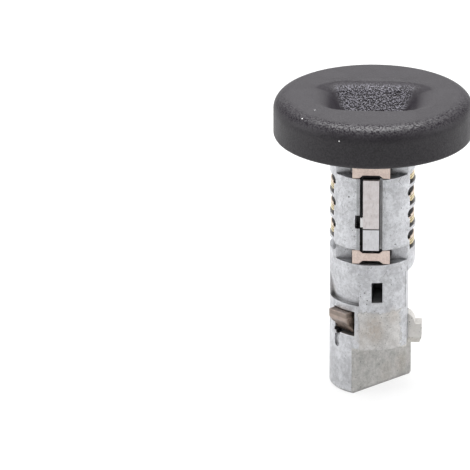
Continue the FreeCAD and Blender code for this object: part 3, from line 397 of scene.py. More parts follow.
def zinc_casting():
    """The metal runs from dark to light with three sizes of noise, and is darker towards the
    bottom.
    Over it come the cast skins, stains, pits and scratches, painted shade in the corners, in the
    scoop, along the lips of the bar's slot and as a line along the stem's right edge, and painted
    shade, black, inside the slots."""
    paint = Finish(bpy.data.materials.new("zinc_casting"))
    at = paint.place()
    z = paint.split(at)[2]
    radius = from_axis(paint, at)
    blotch = paint.noise(at, 0.33, 3, 0.6, 0.6)
    cloud = paint.noise(at, 1.3, 3, 0.6)
    grain = paint.noise(at, 4.5, 3, 0.65)
    rubbed = paint.noise(paint.stretch(at, (1.0, 1.0, 0.22)), 1.6, 2, 0.5)

    shade = paint.blended((blotch, 0.4), (cloud, 0.35), (grain, 0.25))
    colour = paint.tint(paint.spread(shade, 0.38, 0.62), ZINC_DARK, ZINC_LIGHT)

    to_flat = paint.vector("DOT_PRODUCT", at, TANG_WAY)
    on_flat = paint.times(paint.spread(to_flat, TANG_FLAT - 0.15, TANG_FLAT - 0.02),
                          paint.fade(z, TANG_STEP - 0.1, TANG_STEP))
    wander = paint.times(paint.minus(paint.noise(at, 1.1, 3, 0.6), 0.5), 2.2)
    on_patch = box_mask(paint, paint.vector("ADD", at, wander), *PATCH_BOX, 0.5)
    cast = paint.larger(on_flat, paint.times(on_patch, 0.75))
    skin = paint.blended((paint.noise(at, 0.7, 4, 0.7), 0.6), (grain, 0.4))
    skin = paint.spread(skin, 0.38, 0.62)
    cast_tone = paint.tint(
        paint.spread(paint.plus(z, wander), TANG_STEP - 1.2, TANG_STEP + 0.6),
        paint.tint(skin, ZINC_CAST, ZINC_CAST_LIGHT),
        paint.tint(skin, ZINC_PATCH, ZINC_PATCH_LIGHT),
    )
    colour = paint.tint(paint.times(cast, 0.85), colour, cast_tone)
    patch_rim = paint.times(on_patch, paint.minus(1.0, on_patch))
    patch_rim = paint.times(paint.spread(patch_rim, 0.08, 0.25), paint.spread(blotch, 0.42, 0.6))
    colour = paint.tint(paint.times(patch_rim, 0.5), colour, ZINC_RIM)
    # Darker towards the bottom.
    colour = paint.tint(paint.spread(z, 3.0, 12.0, 0.16, 0.0), colour, ZINC_DARKENED)
    on_ear = box_mask(paint, at, *EAR_BOX, 0.15)
    colour = paint.tint(paint.times(on_ear, 0.7), colour, ZINC_EAR)

    stain = 0.0
    for (x_stain, y_stain, z_stain), inner, outer, share in STAINS:
        centre = (x_stain, y_stain, z_stain * 0.7)
        reach = paint.vector("DISTANCE", paint.stretch(at, (1, 1, 0.7)), centre)
        stain = paint.larger(stain, paint.spread(reach, inner, outer, share, 0.0))
    stain = paint.times(stain, paint.spread(cloud, 0.36, 0.58, 0.35, 1.0))
    colour = paint.tint(stain, colour, ZINC_STAIN)

    fine_pits = paint.fade(paint.noise(at, 2.7, 1, 0.4), 0.24, 0.32)
    marks = scratch_mask(paint, at, SCRATCHES_AND_EDGE_SHADE)
    hurt_and_edge_shade = paint.larger(pit_mask(paint, at, PITS), paint.times(marks, 0.75))
    hurt_and_edge_shade = paint.larger(hurt_and_edge_shade, paint.times(fine_pits, 0.5))
    colour = paint.tint(hurt_and_edge_shade, colour, ZINC_PIT_AND_EDGE_SHADE)
    # Painted shade in the scoop, darkest towards its foot.
    scoop_shade = paint.times(box_mask(paint, at, *SCOOP_BOX, 1.3),
                           paint.fade(radius, BARREL_RADIUS - 0.2, BARREL_RADIUS - 0.1))
    colour = paint.tint(paint.times(scoop_shade, 0.42), colour, ZINC_DARKENED)

    # Painted shade: darker where ambient occlusion finds the corners and crevices closed in.
    open_sky = paint.add("ShaderNodeAmbientOcclusion", {"Distance": 1.6 * MM}, samples=8)
    corner_shade = paint.spread(open_sky.outputs["AO"], 0.25, 0.85, 0.75, 0.0)
    colour = paint.tint(corner_shade, colour, ZINC_DARKENED)
    turn_back = {"Vector": at, "Angle": -LATCH_TURN}
    at_latch = paint.add("ShaderNodeVectorRotate", turn_back, rotation_type="Z_AXIS").outputs[0]
    # Painted shade: black inside the slots, and less metallic there.
    slot_shade = 0.0
    for place, boxes in ((at, SHADED_SLOTS), (at_latch, SHADED_SLOTS_AT_LATCH)):
        for low, high, share in boxes:
            slot_shade = paint.larger(paint.times(box_mask(paint, place, low, high), share), slot_shade)
    slot_shade = paint.times(slot_shade, paint.fade(radius, BARREL_RADIUS - 0.5, BARREL_RADIUS - 0.2))
    # Painted shade along the lips of the bar's slot, stronger on the left than on the right.
    left_lip_shade = box_mask(paint, at, *LEFT_LIP_BOX, 0.12)
    right_lip_shade = box_mask(paint, at, *RIGHT_LIP_BOX, 0.12)
    lip_shade = paint.blended((left_lip_shade, 0.42), (right_lip_shade, 0.15))
    colour = paint.tint(lip_shade, colour, ZINC_LIP_SHADE)
    colour = paint.tint(slot_shade, colour, SLOT_SHADE_BLACK)

    rough = paint.spread(paint.plus(cloud, paint.times(rubbed, 0.6)), 0.55, 1.05, 0.34, 0.52)
    rough = paint.plus(rough, paint.times(cast, 0.14))
    relief = paint.relief(grain, 0.022)
    relief = paint.relief(cloud, 0.05, relief)
    relief = paint.relief(paint.times(paint.noise(at, 2.2, 2, 0.6), cast), 0.09, relief)
    relief = paint.relief(paint.minus(1.0, hurt_and_edge_shade), 0.12, relief)
    metal = paint.minus(0.92, paint.times(slot_shade, 0.9))
    return paint.surface(Base_Color=colour, Metallic=metal, Roughness=rough, Normal=relief)


def smooth_normals(mesh):
    """Corner normals for a bevelled solid whose bevel faces carry material 1.

    A face that lies on a surface turned about Z, which is one whose normal points straight out
    of or into the axis at every corner within a few degrees, gets that exact direction there.
    Any other face keeps its own normal. A bevel face takes the mean of what the faces beside it
    have at the same point, so that flats stay flat and edges shade round.
    """
    corners = np.empty(len(mesh.loops), int)
    mesh.loops.foreach_get("vertex_index", corners)
    owner = np.repeat(np.arange(len(mesh.polygons)), [len(face.vertices) for face in mesh.polygons])
    points = np.empty(len(mesh.vertices) * 3)
    mesh.vertices.foreach_get("co", points)
    points = points.reshape(-1, 3)
    normals = np.empty(len(mesh.polygons) * 3)
    mesh.polygons.foreach_get("normal", normals)
    normals = normals.reshape(-1, 3)
    bevelled = np.empty(len(mesh.polygons), int)
    mesh.polygons.foreach_get("material_index", bevelled)

    flat = normals[owner]
    outward = points[corners, :2]
    outward = outward / (np.linalg.norm(outward, axis=1, keepdims=True) + 1e-9)
    level = np.linalg.norm(flat[:, :2], axis=1)
    facing = (flat[:, :2] * outward).sum(axis=1)
    aligned = np.abs(facing) > np.maximum(level, 0.2) * math.cos(TURNED_WITHIN)
    turned = np.ones(len(mesh.polygons), bool)
    np.logical_and.at(turned, owner, aligned)
    round_face = turned[owner]
    chosen = flat.copy()
    chosen[round_face, :2] = (outward * (np.sign(facing) * level)[:, None])[round_face]

    on_bevel = bevelled[owner] == 1
    total = np.zeros((len(points), 3))
    np.add.at(total, corners[~on_bevel], chosen[~on_bevel])
    alone = np.linalg.norm(total, axis=1) < 0.1
    spare = np.zeros((len(points), 3))
    np.add.at(spare, corners, flat)
    total[alone] = spare[alone]
    chosen[on_bevel] = total[corners[on_bevel]]
    chosen /= np.linalg.norm(chosen, axis=1, keepdims=True) + 1e-12
    mesh.polygons.foreach_set("material_index", np.zeros(len(mesh.polygons), int))
    mesh.normals_split_custom_set(chosen)


def finished_copy(node, name, paint, edge=EDGE_BREAK, steps=2, reshape=None):
    """A merged copy of a node's solid with its edges broken, standing for that node."""
    mesh = frame["nodes"][node].data.copy()
    mesh.name = name
    solid = bmesh.new()
    solid.from_mesh(mesh)
    bmesh.ops.remove_doubles(solid, verts=solid.verts, dist=0.001 * MM)
    if reshape:
        reshape(solid)
        bmesh.ops.remove_doubles(solid, verts=solid.verts, dist=0.02 * MM)
        bmesh.ops.dissolve_degenerate(solid, dist=0.01 * MM, edges=solid.edges)
    bmesh.ops.dissolve_limit(solid, angle_limit=FLAT_WITHIN, verts=solid.verts, edges=solid.edges)
    solid.to_mesh(mesh)
    solid.free()
    mesh.materials.clear()
    mesh.materials.append(paint)
    mesh.materials.append(paint)
    piece = bpy.data.objects.new(name, mesh)
    bpy.context.scene.collection.objects.link(piece)
    bevel = piece.modifiers.new("edge_break", "BEVEL")
    bevel.width = edge * MM
    bevel.segments = steps
    bevel.limit_method = "ANGLE"
    bevel.angle_limit = BROKEN_FROM_ANGLE
    bevel.use_clamp_overlap = False
    bevel.miter_outer = "MITER_ARC"
    bevel.material = 1
    finished = piece.evaluated_get(bpy.context.evaluated_depsgraph_get())
    broken = bpy.data.meshes.new_from_object(finished)
    piece.modifiers.clear()
    piece.data = broken
    broken.shade_smooth()
    smooth_normals(broken)
    broken.materials.pop(index=1)
    body = frame["nodes"][node]["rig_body"]
    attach(piece, body)
    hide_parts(node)
    return piece


def level_patch(solid):
    """The sunk patch on the stem is brought out to the barrel's own radius, because its rough
    skin and ragged edge are in the finish."""
    for corner in solid.verts:
        radius = math.hypot(corner.co.x, corner.co.y) / MM
        on_patch = abs(radius - BARREL_RADIUS + PATCH_DEPTH) < 0.015
        if on_patch and PATCH_FOOT < corner.co.z / MM < PATCH_HEAD:
            corner.co.x *= BARREL_RADIUS / radius
            corner.co.y *= BARREL_RADIUS / radius


barrel = finished_copy("lock_body", "barrel_casting", zinc_casting(), reshape=level_patch)

# The knob is moulded in black nylon with a fine grain. Its key recess has a soft rim and a
# coarse stippled back wall; underneath it is cored out, with a hub, ribs and two snap hooks.
KNOB_TOP = 69.7
KNOB_SEAT = 59.9
KNOB_RADIUS = 22.5
KNOB_EDGE = 3.3
KNOB_CROWN = 0.16
KNOB_FOOT = 1.0
KNOB_WALL = 2.2
HUB_RADIUS = 13.5
SOCKET_RADIUS = 8.55
WEB_UNDER = 62.25
RECESS_FLOOR = 63.3
RING_POINTS = 300
SHARP_FROM_ANGLE = math.radians(35.0)
KEY_SLOT = (4.3, 1.3, 12.0)
BACK_RIM_BOX = ((-14.0, 3.0, 66.0), (14.0, 10.0, KNOB_TOP + 1.4))
KNOB_BLACK = (0.0108, 0.0088, 0.0118)
KNOB_WORN = (0.0155, 0.0135, 0.0168)
STIPPLE_LIGHT = (0.125, 0.12, 0.14)
SPECK_WHITE = (0.8, 0.8, 0.8)
SPECKS = (
    (-15.3, -14.6, 69.0, 0.17), (-12.6, -10.9, 69.7, 0.13), (-6.7, -21.5, 66.3, 0.16),
    (-14.9, -15.6, 68.4, 0.1), (-14.0, -16.1, 68.6, 0.09), (-15.8, -15.7, 67.9, 0.08),
)


def oval_ring(angles, half_x, half_y, power):
    """Radius of a rounded box at each angle: the power mean of its two half sizes."""
    across = np.abs(np.cos(angles)) / half_x
    along = np.abs(np.sin(angles)) / half_y
    return (across**power + along**power) ** (-1 / power)


def round_ring(reach, height):
    """A ring of the knob's skin that is a circle: equal half sizes, power two, no move."""
    return (reach, reach, 2.0, height, 0.0)


def knob_rings():
    """The knob's skin as rings (half x, half y, power, height, move in y), from the key slot's
    foot up the recess, over the top, down the side and back under to the slot: a closed tube.
    The rim of the recess is a curve with three control rings, weighed (1 - s)^2, 2s(1 - s), s^2."""
    slot_heights = (WEB_UNDER, WEB_UNDER + 0.4, RECESS_FLOOR - 0.15)
    rings = [(*KEY_SLOT, height, 0.0) for height in slot_heights]
    rings += [(4.42, 1.42, 11.0, RECESS_FLOOR - 0.02, 0.0), (4.6, 1.6, 10.0, RECESS_FLOOR, 0.0)]
    rings += [(5.8, 2.3, 7.0, RECESS_FLOOR, 0.0), (6.15, 2.65, 6.5, RECESS_FLOOR + 0.1, 0.0)]
    foot = np.array((6.4, 2.95, 6.0, RECESS_FLOOR + 0.4, 0.0))
    shoulder = np.array((9.9, 6.9, 4.2, KNOB_TOP - 1.9, -0.7))
    rim = np.array((12.0, 8.3, 3.4, KNOB_TOP - 0.12, -1.2))
    rim_end = np.array((15.6, 11.6, 2.3, KNOB_TOP, -0.3))
    rings += [tuple(foot + (shoulder - foot) * step) for step in np.linspace(0, 1, 14)]
    for step in np.linspace(0, 1, 25)[1:]:
        rest = 1 - step
        rings.append(tuple(shoulder * rest**2 + rim * 2 * step * rest + rim_end * step**2))
    flat_end = KNOB_RADIUS - KNOB_EDGE
    edge_start = np.array(round_ring(flat_end, KNOB_TOP))
    for step in np.linspace(0, 1, 9)[1:]:
        crown = (0, 0, 0, KNOB_CROWN * step**2, 0)
        rings.append(tuple(rim_end + (edge_start - rim_end) * step - crown))
    for turn in np.radians(np.linspace(4, 90, 22)):
        fall = KNOB_CROWN * math.cos(turn) + KNOB_EDGE * (1 - math.cos(turn))
        rings.append(round_ring(flat_end + KNOB_EDGE * math.sin(turn), KNOB_TOP - fall))
    side = np.linspace(KNOB_TOP - KNOB_EDGE, KNOB_SEAT + KNOB_FOOT, 7)
    rings += [round_ring(KNOB_RADIUS, height) for height in side[1:]]
    for turn in np.radians(np.linspace(0, 90, 8)[1:]):
        reach = KNOB_RADIUS - KNOB_FOOT * (1 - math.cos(turn))
        rings.append(round_ring(reach, KNOB_SEAT + KNOB_FOOT * (1 - math.sin(turn))))
    inner = KNOB_RADIUS - KNOB_WALL
    roof = KNOB_TOP - KNOB_WALL
    hub_foot = KNOB_SEAT + 0.05
    under = [
        (inner + 0.25, KNOB_SEAT), (inner + 0.07, KNOB_SEAT + 0.07), (inner, KNOB_SEAT + 0.25),
        (inner, roof - 0.6), (inner - 0.17, roof - 0.17), (inner - 0.6, roof),
        (HUB_RADIUS + 0.6, roof), (HUB_RADIUS + 0.17, roof - 0.17), (HUB_RADIUS, roof - 0.6),
        (HUB_RADIUS, hub_foot + 0.3), (HUB_RADIUS - 0.09, hub_foot + 0.09),
        (HUB_RADIUS - 0.3, hub_foot), (SOCKET_RADIUS + 0.3, hub_foot),
        (SOCKET_RADIUS + 0.09, hub_foot + 0.09), (SOCKET_RADIUS, hub_foot + 0.3),
        (SOCKET_RADIUS, WEB_UNDER - 0.1), (SOCKET_RADIUS - 0.1, WEB_UNDER),
    ]
    rings += [round_ring(reach, height) for reach, height in under]
    rings += [(6.4, 4.6, 3.0, WEB_UNDER, 0.0), (4.9, 2.0, 8.0, WEB_UNDER, 0.0)]
    return np.array(rings)


def grid_faces(rows, columns, close_rows, close_columns):
    """Four-cornered faces between neighbouring points of a grid, wrapped round where closed."""
    row = np.arange(rows if close_rows else rows - 1)[:, None]
    column = np.arange(columns if close_columns else columns - 1)[None, :]
    below = (row + 1) % rows * columns
    beside = (column + 1) % columns
    row = row * columns
    corners = [row + column, row + beside, below + beside, below + column]
    return np.stack(np.broadcast_arrays(*corners), axis=-1).reshape(-1, 4)


def new_piece(name, points, faces, paint, body, nodes):
    """A mesh in millimetres made into a piece that rides a body and stands for its nodes."""
    mesh = bpy.data.meshes.new(name)
    mesh.from_pydata(np.asarray(points) * MM, [], [list(face) for face in faces])
    mesh.validate()
    mesh.materials.append(paint)
    mesh.shade_smooth()
    mesh.set_sharp_from_angle(angle=SHARP_FROM_ANGLE)
    piece = bpy.data.objects.new(name, mesh)
    bpy.context.scene.collection.objects.link(piece)
    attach(piece, body)
    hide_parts(*nodes)
    return piece


def slab(outline, low, high, frame_x, frame_y, edge=0.12):
    """A plate: an outline in frame_x and frame_y, carried from low to high along their cross
    product, its two rims drawn in by edge. Each end is closed by a fan from its middle."""
    outline = np.asarray(outline, float)
    middle = outline.mean(axis=0)
    away = np.linalg.norm(outline - middle, axis=1, keepdims=True)
    drawn_in = outline - (outline - middle) / away * edge
    plane = np.stack([np.asarray(frame_x, float), np.asarray(frame_y, float)])
    up = np.cross(plane[0], plane[1])
    loops = [(drawn_in, low), (outline, low + edge), (outline, high - edge), (drawn_in, high)]
    points = [loop @ plane + up * level for loop, level in loops]
    points += [np.array([middle @ plane + up * level]) for level in (low, high)]
    count = len(outline)
    around = np.arange(count)
    beside = (around + 1) % count
    faces = [list(face) for face in grid_faces(4, count, False, True)]
    faces += [[4 * count, beside[i], i] for i in around]
    faces += [[4 * count + 1, 3 * count + i, 3 * count + beside[i]] for i in around]
    return np.concatenate(points), faces


def joined(shells):
    """Several closed shells as one list of points and faces."""
    points, faces, first = [], [], 0
    for shell_points, shell_faces in shells:
        points.append(shell_points)
        faces += [[corner + first for corner in face] for face in shell_faces]
        first += len(shell_points)
    return np.concatenate(points), faces


def knob_plastic():
    """Black with a fine grain that sparkles most on the rounded edge and near the lens, less in
    the recess, on its back rim and under the edge. The stipple of the recess's back wall has
    bounds in x and z and none outwards in y, so it also lies on the outside of the rim there."""
    paint = Finish(bpy.data.materials.new("knob_plastic"))
    at = paint.place()
    x, y, z = paint.split(at)
    radius = from_axis(paint, at)
    grain = paint.noise(at, 2.6, 2, 0.6)
    cloud = paint.noise(at, 0.25, 3, 0.6)
    stipple = paint.noise(at, 2.7, 1, 0.45)

    on_wall = paint.times(paint.spread(y, 2.6, 3.4), paint.fade(z, KNOB_TOP - 1.0, KNOB_TOP - 0.25))
    wider_up = paint.times(paint.minus(z, RECESS_FLOOR), 0.42)
    width = paint.minus(paint.unsigned(x), wider_up)
    on_wall = paint.times(on_wall, paint.fade(width, 5.4, 7.2))
    on_wall = paint.times(on_wall, paint.spread(z, RECESS_FLOOR + 0.2, RECESS_FLOOR + 0.6))
    light_grain = paint.times(paint.spread(stipple, 0.44, 0.62), on_wall)

    deep = paint.times(paint.fade(z, KNOB_TOP - 2.6, KNOB_TOP - 0.2),
                       paint.fade(radius, 13.0, 14.5))
    back_rim = paint.times(box_mask(paint, at, *BACK_RIM_BOX, 1.5),
                           paint.fade(z, KNOB_TOP - 0.3, KNOB_TOP - 0.02))
    under_edge = paint.times(paint.spread(radius, KNOB_RADIUS - 1.6, KNOB_RADIUS - 0.8),
                             paint.spread(z, KNOB_TOP - 4.6, KNOB_TOP - 2.6))
    deep = paint.larger(paint.larger(deep, back_rim), paint.times(under_edge, 0.55))

    flat_end = KNOB_RADIUS - KNOB_EDGE
    on_edge = paint.times(paint.spread(radius, flat_end - 0.8, flat_end + 1.0),
                          paint.spread(z, KNOB_TOP - 2.4, KNOB_TOP - 1.2))
    sparkle = paint.spread(grain, 0.34, 0.66, -1.0, 1.0)
    sparkle = paint.times(sparkle, paint.spread(on_edge, 0.0, 1.0, 0.22, 0.6))
    sparkle = paint.minus(sparkle, paint.times(on_edge, 0.34))
    sparkle = paint.times(sparkle, paint.spread(y, -6.0, 8.0, 1.0, 0.35))
    gleam = paint.times(paint.spread(deep, 0.0, 1.0, 0.43, 0.19), paint.plus(1.0, sparkle))

    colour = paint.tint(paint.spread(cloud, 0.3, 0.7), KNOB_BLACK, KNOB_WORN)
    colour = paint.tint(paint.times(light_grain, 0.85), colour, STIPPLE_LIGHT)
    colour = paint.tint(pit_mask(paint, at, SPECKS), colour, SPECK_WHITE)
    rough = paint.spread(paint.plus(grain, cloud), 0.7, 1.3, 0.42, 0.56)
    relief = paint.relief(grain, 0.075)
    relief = paint.relief(paint.times(stipple, on_wall), 0.30, relief)
    return paint.surface(Base_Color=colour, Roughness=rough, Normal=relief, IOR=1.52,
                         Specular_IOR_Level=gleam)


knob_turn = np.linspace(0, 2 * np.pi, RING_POINTS, endpoint=False)
knob_profile = knob_rings()
half_x, half_y, power, height, move_y = knob_profile.T[:, :, None]
knob_reach = oval_ring(knob_turn[None, :], half_x, half_y, power)
knob_skin = np.stack([
    knob_reach * np.cos(knob_turn),
    knob_reach * np.sin(knob_turn) + move_y,
    np.broadcast_to(height, knob_reach.shape),
], axis=-1).reshape(-1, 3)
knob_faces = grid_faces(len(knob_profile), RING_POINTS, True, True)[:, ::-1]
knob_shells = [(knob_skin, [list(face) for face in knob_faces])]

RIB_INNER = HUB_RADIUS - 0.3
RIB_OUTER = KNOB_RADIUS - KNOB_WALL + 0.3
RIB_FOOT = KNOB_SEAT + 1.2
RIB_HEAD = KNOB_TOP - KNOB_WALL + 0.1
RIB_HALF = 0.6
RIB_OUTLINE = [
    (RIB_INNER, RIB_FOOT), (RIB_OUTER, RIB_FOOT), (RIB_OUTER, RIB_HEAD), (RIB_INNER, RIB_HEAD),
]
HOOK_HALF = 1.5
HOOK_OUTLINE = [
    (6.7, 62.8), (6.7, 56.4), (7.9, 56.4), (8.6, 57.2), (8.6, 57.4), (7.7, 57.4), (7.7, 62.8),
]
for turn in np.radians(np.arange(0, 360, 45)):
    outward = (math.cos(turn), math.sin(turn), 0)
    knob_shells.append(slab(RIB_OUTLINE, -RIB_HALF, RIB_HALF, outward, (0, 0, 1)))
for side in (1, -1):
    way = (side, 0, 0)
    knob_shells.append(slab(HOOK_OUTLINE, -HOOK_HALF, HOOK_HALF, way, (0, 0, 1), edge=0.08))
knob_points, knob_joined = joined(knob_shells)
knob = new_piece("knob_moulding", knob_points, knob_joined, knob_plastic(), "barrel", ["knob"])

# The side bar stands in its slot in two lengths: the long one in warm nickel with a locating
# tab, the short one in a bluish grey. Both are drawn flat bar with broken edges.
NICKEL_LIGHT = (0.97, 0.925, 0.925)
NICKEL_DARK = (0.80, 0.745, 0.735)
BAR_END_LIGHT = (0.95, 0.95, 0.98)
BAR_END_DARK = (0.80, 0.80, 0.83)
BAR_SMEAR = (0.3, 0.27, 0.26)
BAR_EDGE_HIGHLIGHT = (0.98, 0.98, 0.98)
BAR_SHADOW = (0.012, 0.012, 0.012)
BAR_SEAM = 40.65
BAR_LEFT = -1.9
BAR_EDGE = 0.11


def drawn_bar(name, light, dark):
    """Long draw lines over a cloudy tone, a painted highlight on the left edge, and painted shadow,
    black, below the face and in the seam between the two lengths."""
    paint = Finish(bpy.data.materials.new(name))
    at = paint.place()
    x, y, z = paint.split(at)
    lines = paint.noise(paint.stretch(at, (1, 1, 0.06)), 9.0, 2, 0.6)
    cloud = paint.noise(at, 0.8, 3, 0.6)
    grain = paint.noise(at, 6.0, 2, 0.6)
    tone = paint.blended((lines, 0.35), (cloud, 0.65))
    colour = paint.tint(paint.spread(tone, 0.34, 0.66), dark, light)
    smear = paint.noise(paint.stretch(at, (1, 1, 0.4)), 1.9, 2, 0.5)
    colour = paint.tint(paint.times(paint.spread(smear, 0.60, 0.72), 0.2), colour, BAR_SMEAR)
    # Painted highlight along the bar's left edge.
    left_edge_highlight = paint.spread(x, BAR_LEFT, BAR_LEFT + 0.15, 0.8, 0.0)
    colour = paint.tint(left_edge_highlight, colour, BAR_EDGE_HIGHLIGHT)
    # Painted shadow: black below the face and in the seam, and less metallic there.
    off_seam = paint.unsigned(paint.minus(z, BAR_SEAM))
    sunk_shadow = paint.larger(paint.spread(y, -9.3, -8.9, 0.0, 0.95),
                        paint.spread(off_seam, 0.11, 0.2, 0.9, 0.0))
    colour = paint.tint(sunk_shadow, colour, BAR_SHADOW)
    rough = paint.spread(tone, 0.3, 0.7, 0.38, 0.52)
    relief = paint.relief(paint.plus(lines, grain), 0.012)
    metal = paint.minus(1.0, paint.times(sunk_shadow, 0.9))
    return paint.surface(Base_Color=colour, Metallic=metal, Roughness=rough, Normal=relief)


nickel_paint = drawn_bar("nickel_bar", NICKEL_LIGHT, NICKEL_DARK)
bar = finished_copy("side_bar", "side_bar_upper", nickel_paint, edge=BAR_EDGE, steps=3)
grey_paint = drawn_bar("grey_bar", BAR_END_LIGHT, BAR_END_DARK)
bar_end = finished_copy("side_bar_end", "side_bar_lower", grey_paint, edge=BAR_EDGE, steps=3)

# The two bow-tie retainers are blanked from plated strip, matt and warm, with a fine orange
# peel on the face and a shear line round the edge. Their legs sit in the groove floors.
CLIP_LIGHT = (0.98, 0.83, 0.75)
CLIP_DARK = (0.78, 0.64, 0.57)
CLIP_WORN = (0.36, 0.33, 0.31)
CLIP_SHADOW = (0.015, 0.013, 0.012)


def clip_plating():
    """A tone of peel and cloud, worn through in small spots, and black below the face."""
    paint = Finish(bpy.data.materials.new("clip_plating"))
    at = paint.place()
    y = paint.split(at)[1]
    peel = paint.noise(at, 3.4, 2, 0.6)
    cloud = paint.noise(at, 0.7, 3, 0.6)
    fine = paint.noise(at, 9.0, 2, 0.6)
    tone = paint.blended((peel, 0.45), (cloud, 0.55))
    colour = paint.tint(paint.spread(tone, 0.36, 0.64), CLIP_DARK, CLIP_LIGHT)
    worn = paint.spread(paint.blended((fine, 0.5), (cloud, 0.5)), 0.60, 0.68)
    colour = paint.tint(paint.times(worn, 0.5), colour, CLIP_WORN)
    colour = paint.tint(paint.spread(y, -8.92, -8.7, 0.0, 0.93), colour, CLIP_SHADOW)
    rough = paint.spread(tone, 0.3, 0.7, 0.40, 0.52)
    relief = paint.relief(peel, 0.05)
    relief = paint.relief(fine, 0.015, relief)
    return paint.surface(Base_Color=colour, Metallic=0.95, Roughness=rough, Normal=relief)


clip_paint = clip_plating()
for place in ("upper", "lower"):
    clip = finished_copy(f"{place}_bar_retainer", f"{place}_retainer_clip", clip_paint)

# The seven tumblers are stamped from brass strip. Their heads show as bright lines under the
# windows, two fine grooves across each painted as dark lines of shade; the tails inside are
# painted dark as shade.
TUMBLER_PITCH = 2.63
TOP_HEAD_FOOT = 50.55
HEAD_LINES = (0.66, 1.33)
BRASS_LOW = (0.90, 0.77, 0.46)
BRASS_HIGH = (0.92, 0.78, 0.66)
BRASS_DULL = (0.5, 0.4, 0.25)
BRASS_GROOVE_SHADE = (0.16, 0.12, 0.08)
TAIL_SHADE_DARK = (0.03, 0.028, 0.026)
TAIL_SHADE_LIGHT = (0.085, 0.08, 0.075)


def tumbler_brass():
    """Brass outside a radius and painted shade inside it. The height up a head is what is left of z
    over the pitch, once the foot of the top head is moved up to a whole number of pitches."""
    paint = Finish(bpy.data.materials.new("tumbler_brass"))
    at = paint.place()
    z = paint.split(at)[2]
    cloud = paint.noise(at, 0.9, 3, 0.6)
    shear = paint.noise(paint.stretch(at, (1, 1, 0.12)), 7.0, 2, 0.6)
    outer = paint.spread(from_axis(paint, at), BARREL_RADIUS - 0.6, BARREL_RADIUS - 0.4)
    tone = paint.spread(paint.blended((cloud, 0.6), (shear, 0.4)), 0.36, 0.64)
    above_foot = paint.plus(z, 20 * TUMBLER_PITCH - TOP_HEAD_FOOT)
    up_head = paint.figure("MODULO", above_foot, TUMBLER_PITCH)
    bright = paint.tint(paint.spread(up_head, 1.2, 1.4), BRASS_LOW, BRASS_HIGH)
    bright = paint.tint(tone, paint.tint(0.3, bright, BRASS_DULL), bright)
    # Painted shade: a dark line across each head where a groove is.
    for line_height in HEAD_LINES:
        off_line = paint.unsigned(paint.minus(up_head, line_height))
        bright = paint.tint(paint.spread(off_line, 0.06, 0.16, 0.75, 0.0), bright, BRASS_GROOVE_SHADE)
    # Painted shade: the tails inside the radius are dark.
    tail_shade = paint.tint(tone, TAIL_SHADE_DARK, TAIL_SHADE_LIGHT)
    colour = paint.tint(outer, tail_shade, bright)
    rough = paint.spread(tone, 0.0, 1.0, 0.30, 0.42)
    relief = paint.relief(shear, 0.02)
    return paint.surface(Base_Color=colour, Metallic=0.95, Roughness=rough, Normal=relief)


brass_paint = tumbler_brass()
for number in range(1, 8):
    tumbler = finished_copy(f"tumbler_{number}", f"tumbler_plate_{number}", brass_paint, edge=0.09)

# Coil springs of drawn wire push the tumblers, the side bar and the latch outwards. The end
# turns are closed.
WIRE_DARK = (0.42, 0.42, 0.43)
WIRE_LIGHT = (0.62, 0.62, 0.63)
STEPS_PER_TURN = 28
WIRE_SIDES = 12
BAR_COIL_WIRE = 0.25
BAR_COIL_TURNS = 5
TUMBLER_COIL_WIRE = 0.22
TUMBLER_COIL_TURNS = 6
TUMBLER_CODE = (1, 3, 2, 1, 3, 2, 1)


def spring_wire():
    """Bright steel with fine draw lines."""
    paint = Finish(bpy.data.materials.new("spring_wire"))
    at = paint.place()
    cloud = paint.noise(at, 2.0, 3, 0.6)
    lines = paint.noise(at, 14.0, 2, 0.6)
    colour = paint.tint(paint.spread(cloud, 0.35, 0.65), WIRE_DARK, WIRE_LIGHT)
    relief = paint.relief(lines, 0.006)
    rough = paint.spread(lines, 0.3, 0.7, 0.25, 0.38)
    return paint.surface(Base_Color=colour, Metallic=1.0, Roughness=rough, Normal=relief)


def coil_spring(foot, way, outside, wire, length, turns):
    """A wire tube along a helix: its rise is slow in the end turns and even between them. Each
    ring of the tube is square to the path, and the two ends are closed by a fan."""
    way = np.asarray(way, float) / np.linalg.norm(way)
    side = np.cross(way, (0, 0, 1) if abs(way[2]) < 0.9 else (1, 0, 0))
    side /= np.linalg.norm(side)
    other = np.cross(way, side)
    steps = int(turns * STEPS_PER_TURN)
    share = np.linspace(0, 1, steps)
    angle = 2 * np.pi * turns * share
    rise = (length - wire) * (share - 0.055 * np.sin(4 * np.pi * share)) + wire / 2
    outward = np.cos(angle)[:, None] * side + np.sin(angle)[:, None] * other
    path = np.asarray(foot, float) + rise[:, None] * way + (outside - wire) / 2 * outward
    ahead = np.gradient(path, axis=0)
    ahead /= np.linalg.norm(ahead, axis=1, keepdims=True)
    lift = np.cross(ahead, outward)
    lift /= np.linalg.norm(lift, axis=1, keepdims=True)
    around = np.linspace(0, 2 * np.pi, WIRE_SIDES, endpoint=False)[None, :, None]
    ring = np.cos(around) * outward[:, None, :] + np.sin(around) * lift[:, None, :]
    tube = path[:, None, :] + wire / 2 * ring
    points = np.concatenate([tube.reshape(-1, 3), path[:1], path[-1:]])
    faces = [list(face) for face in grid_faces(steps, WIRE_SIDES, False, True)[:, ::-1]]
    foot_middle = WIRE_SIDES * steps
    last = (steps - 1) * WIRE_SIDES
    for i in range(WIRE_SIDES):
        beside = (i + 1) % WIRE_SIDES
        faces.append([foot_middle, i, beside])
        faces.append([foot_middle + 1, last + beside, last + i])
    return points, faces


wire_paint = spring_wire()


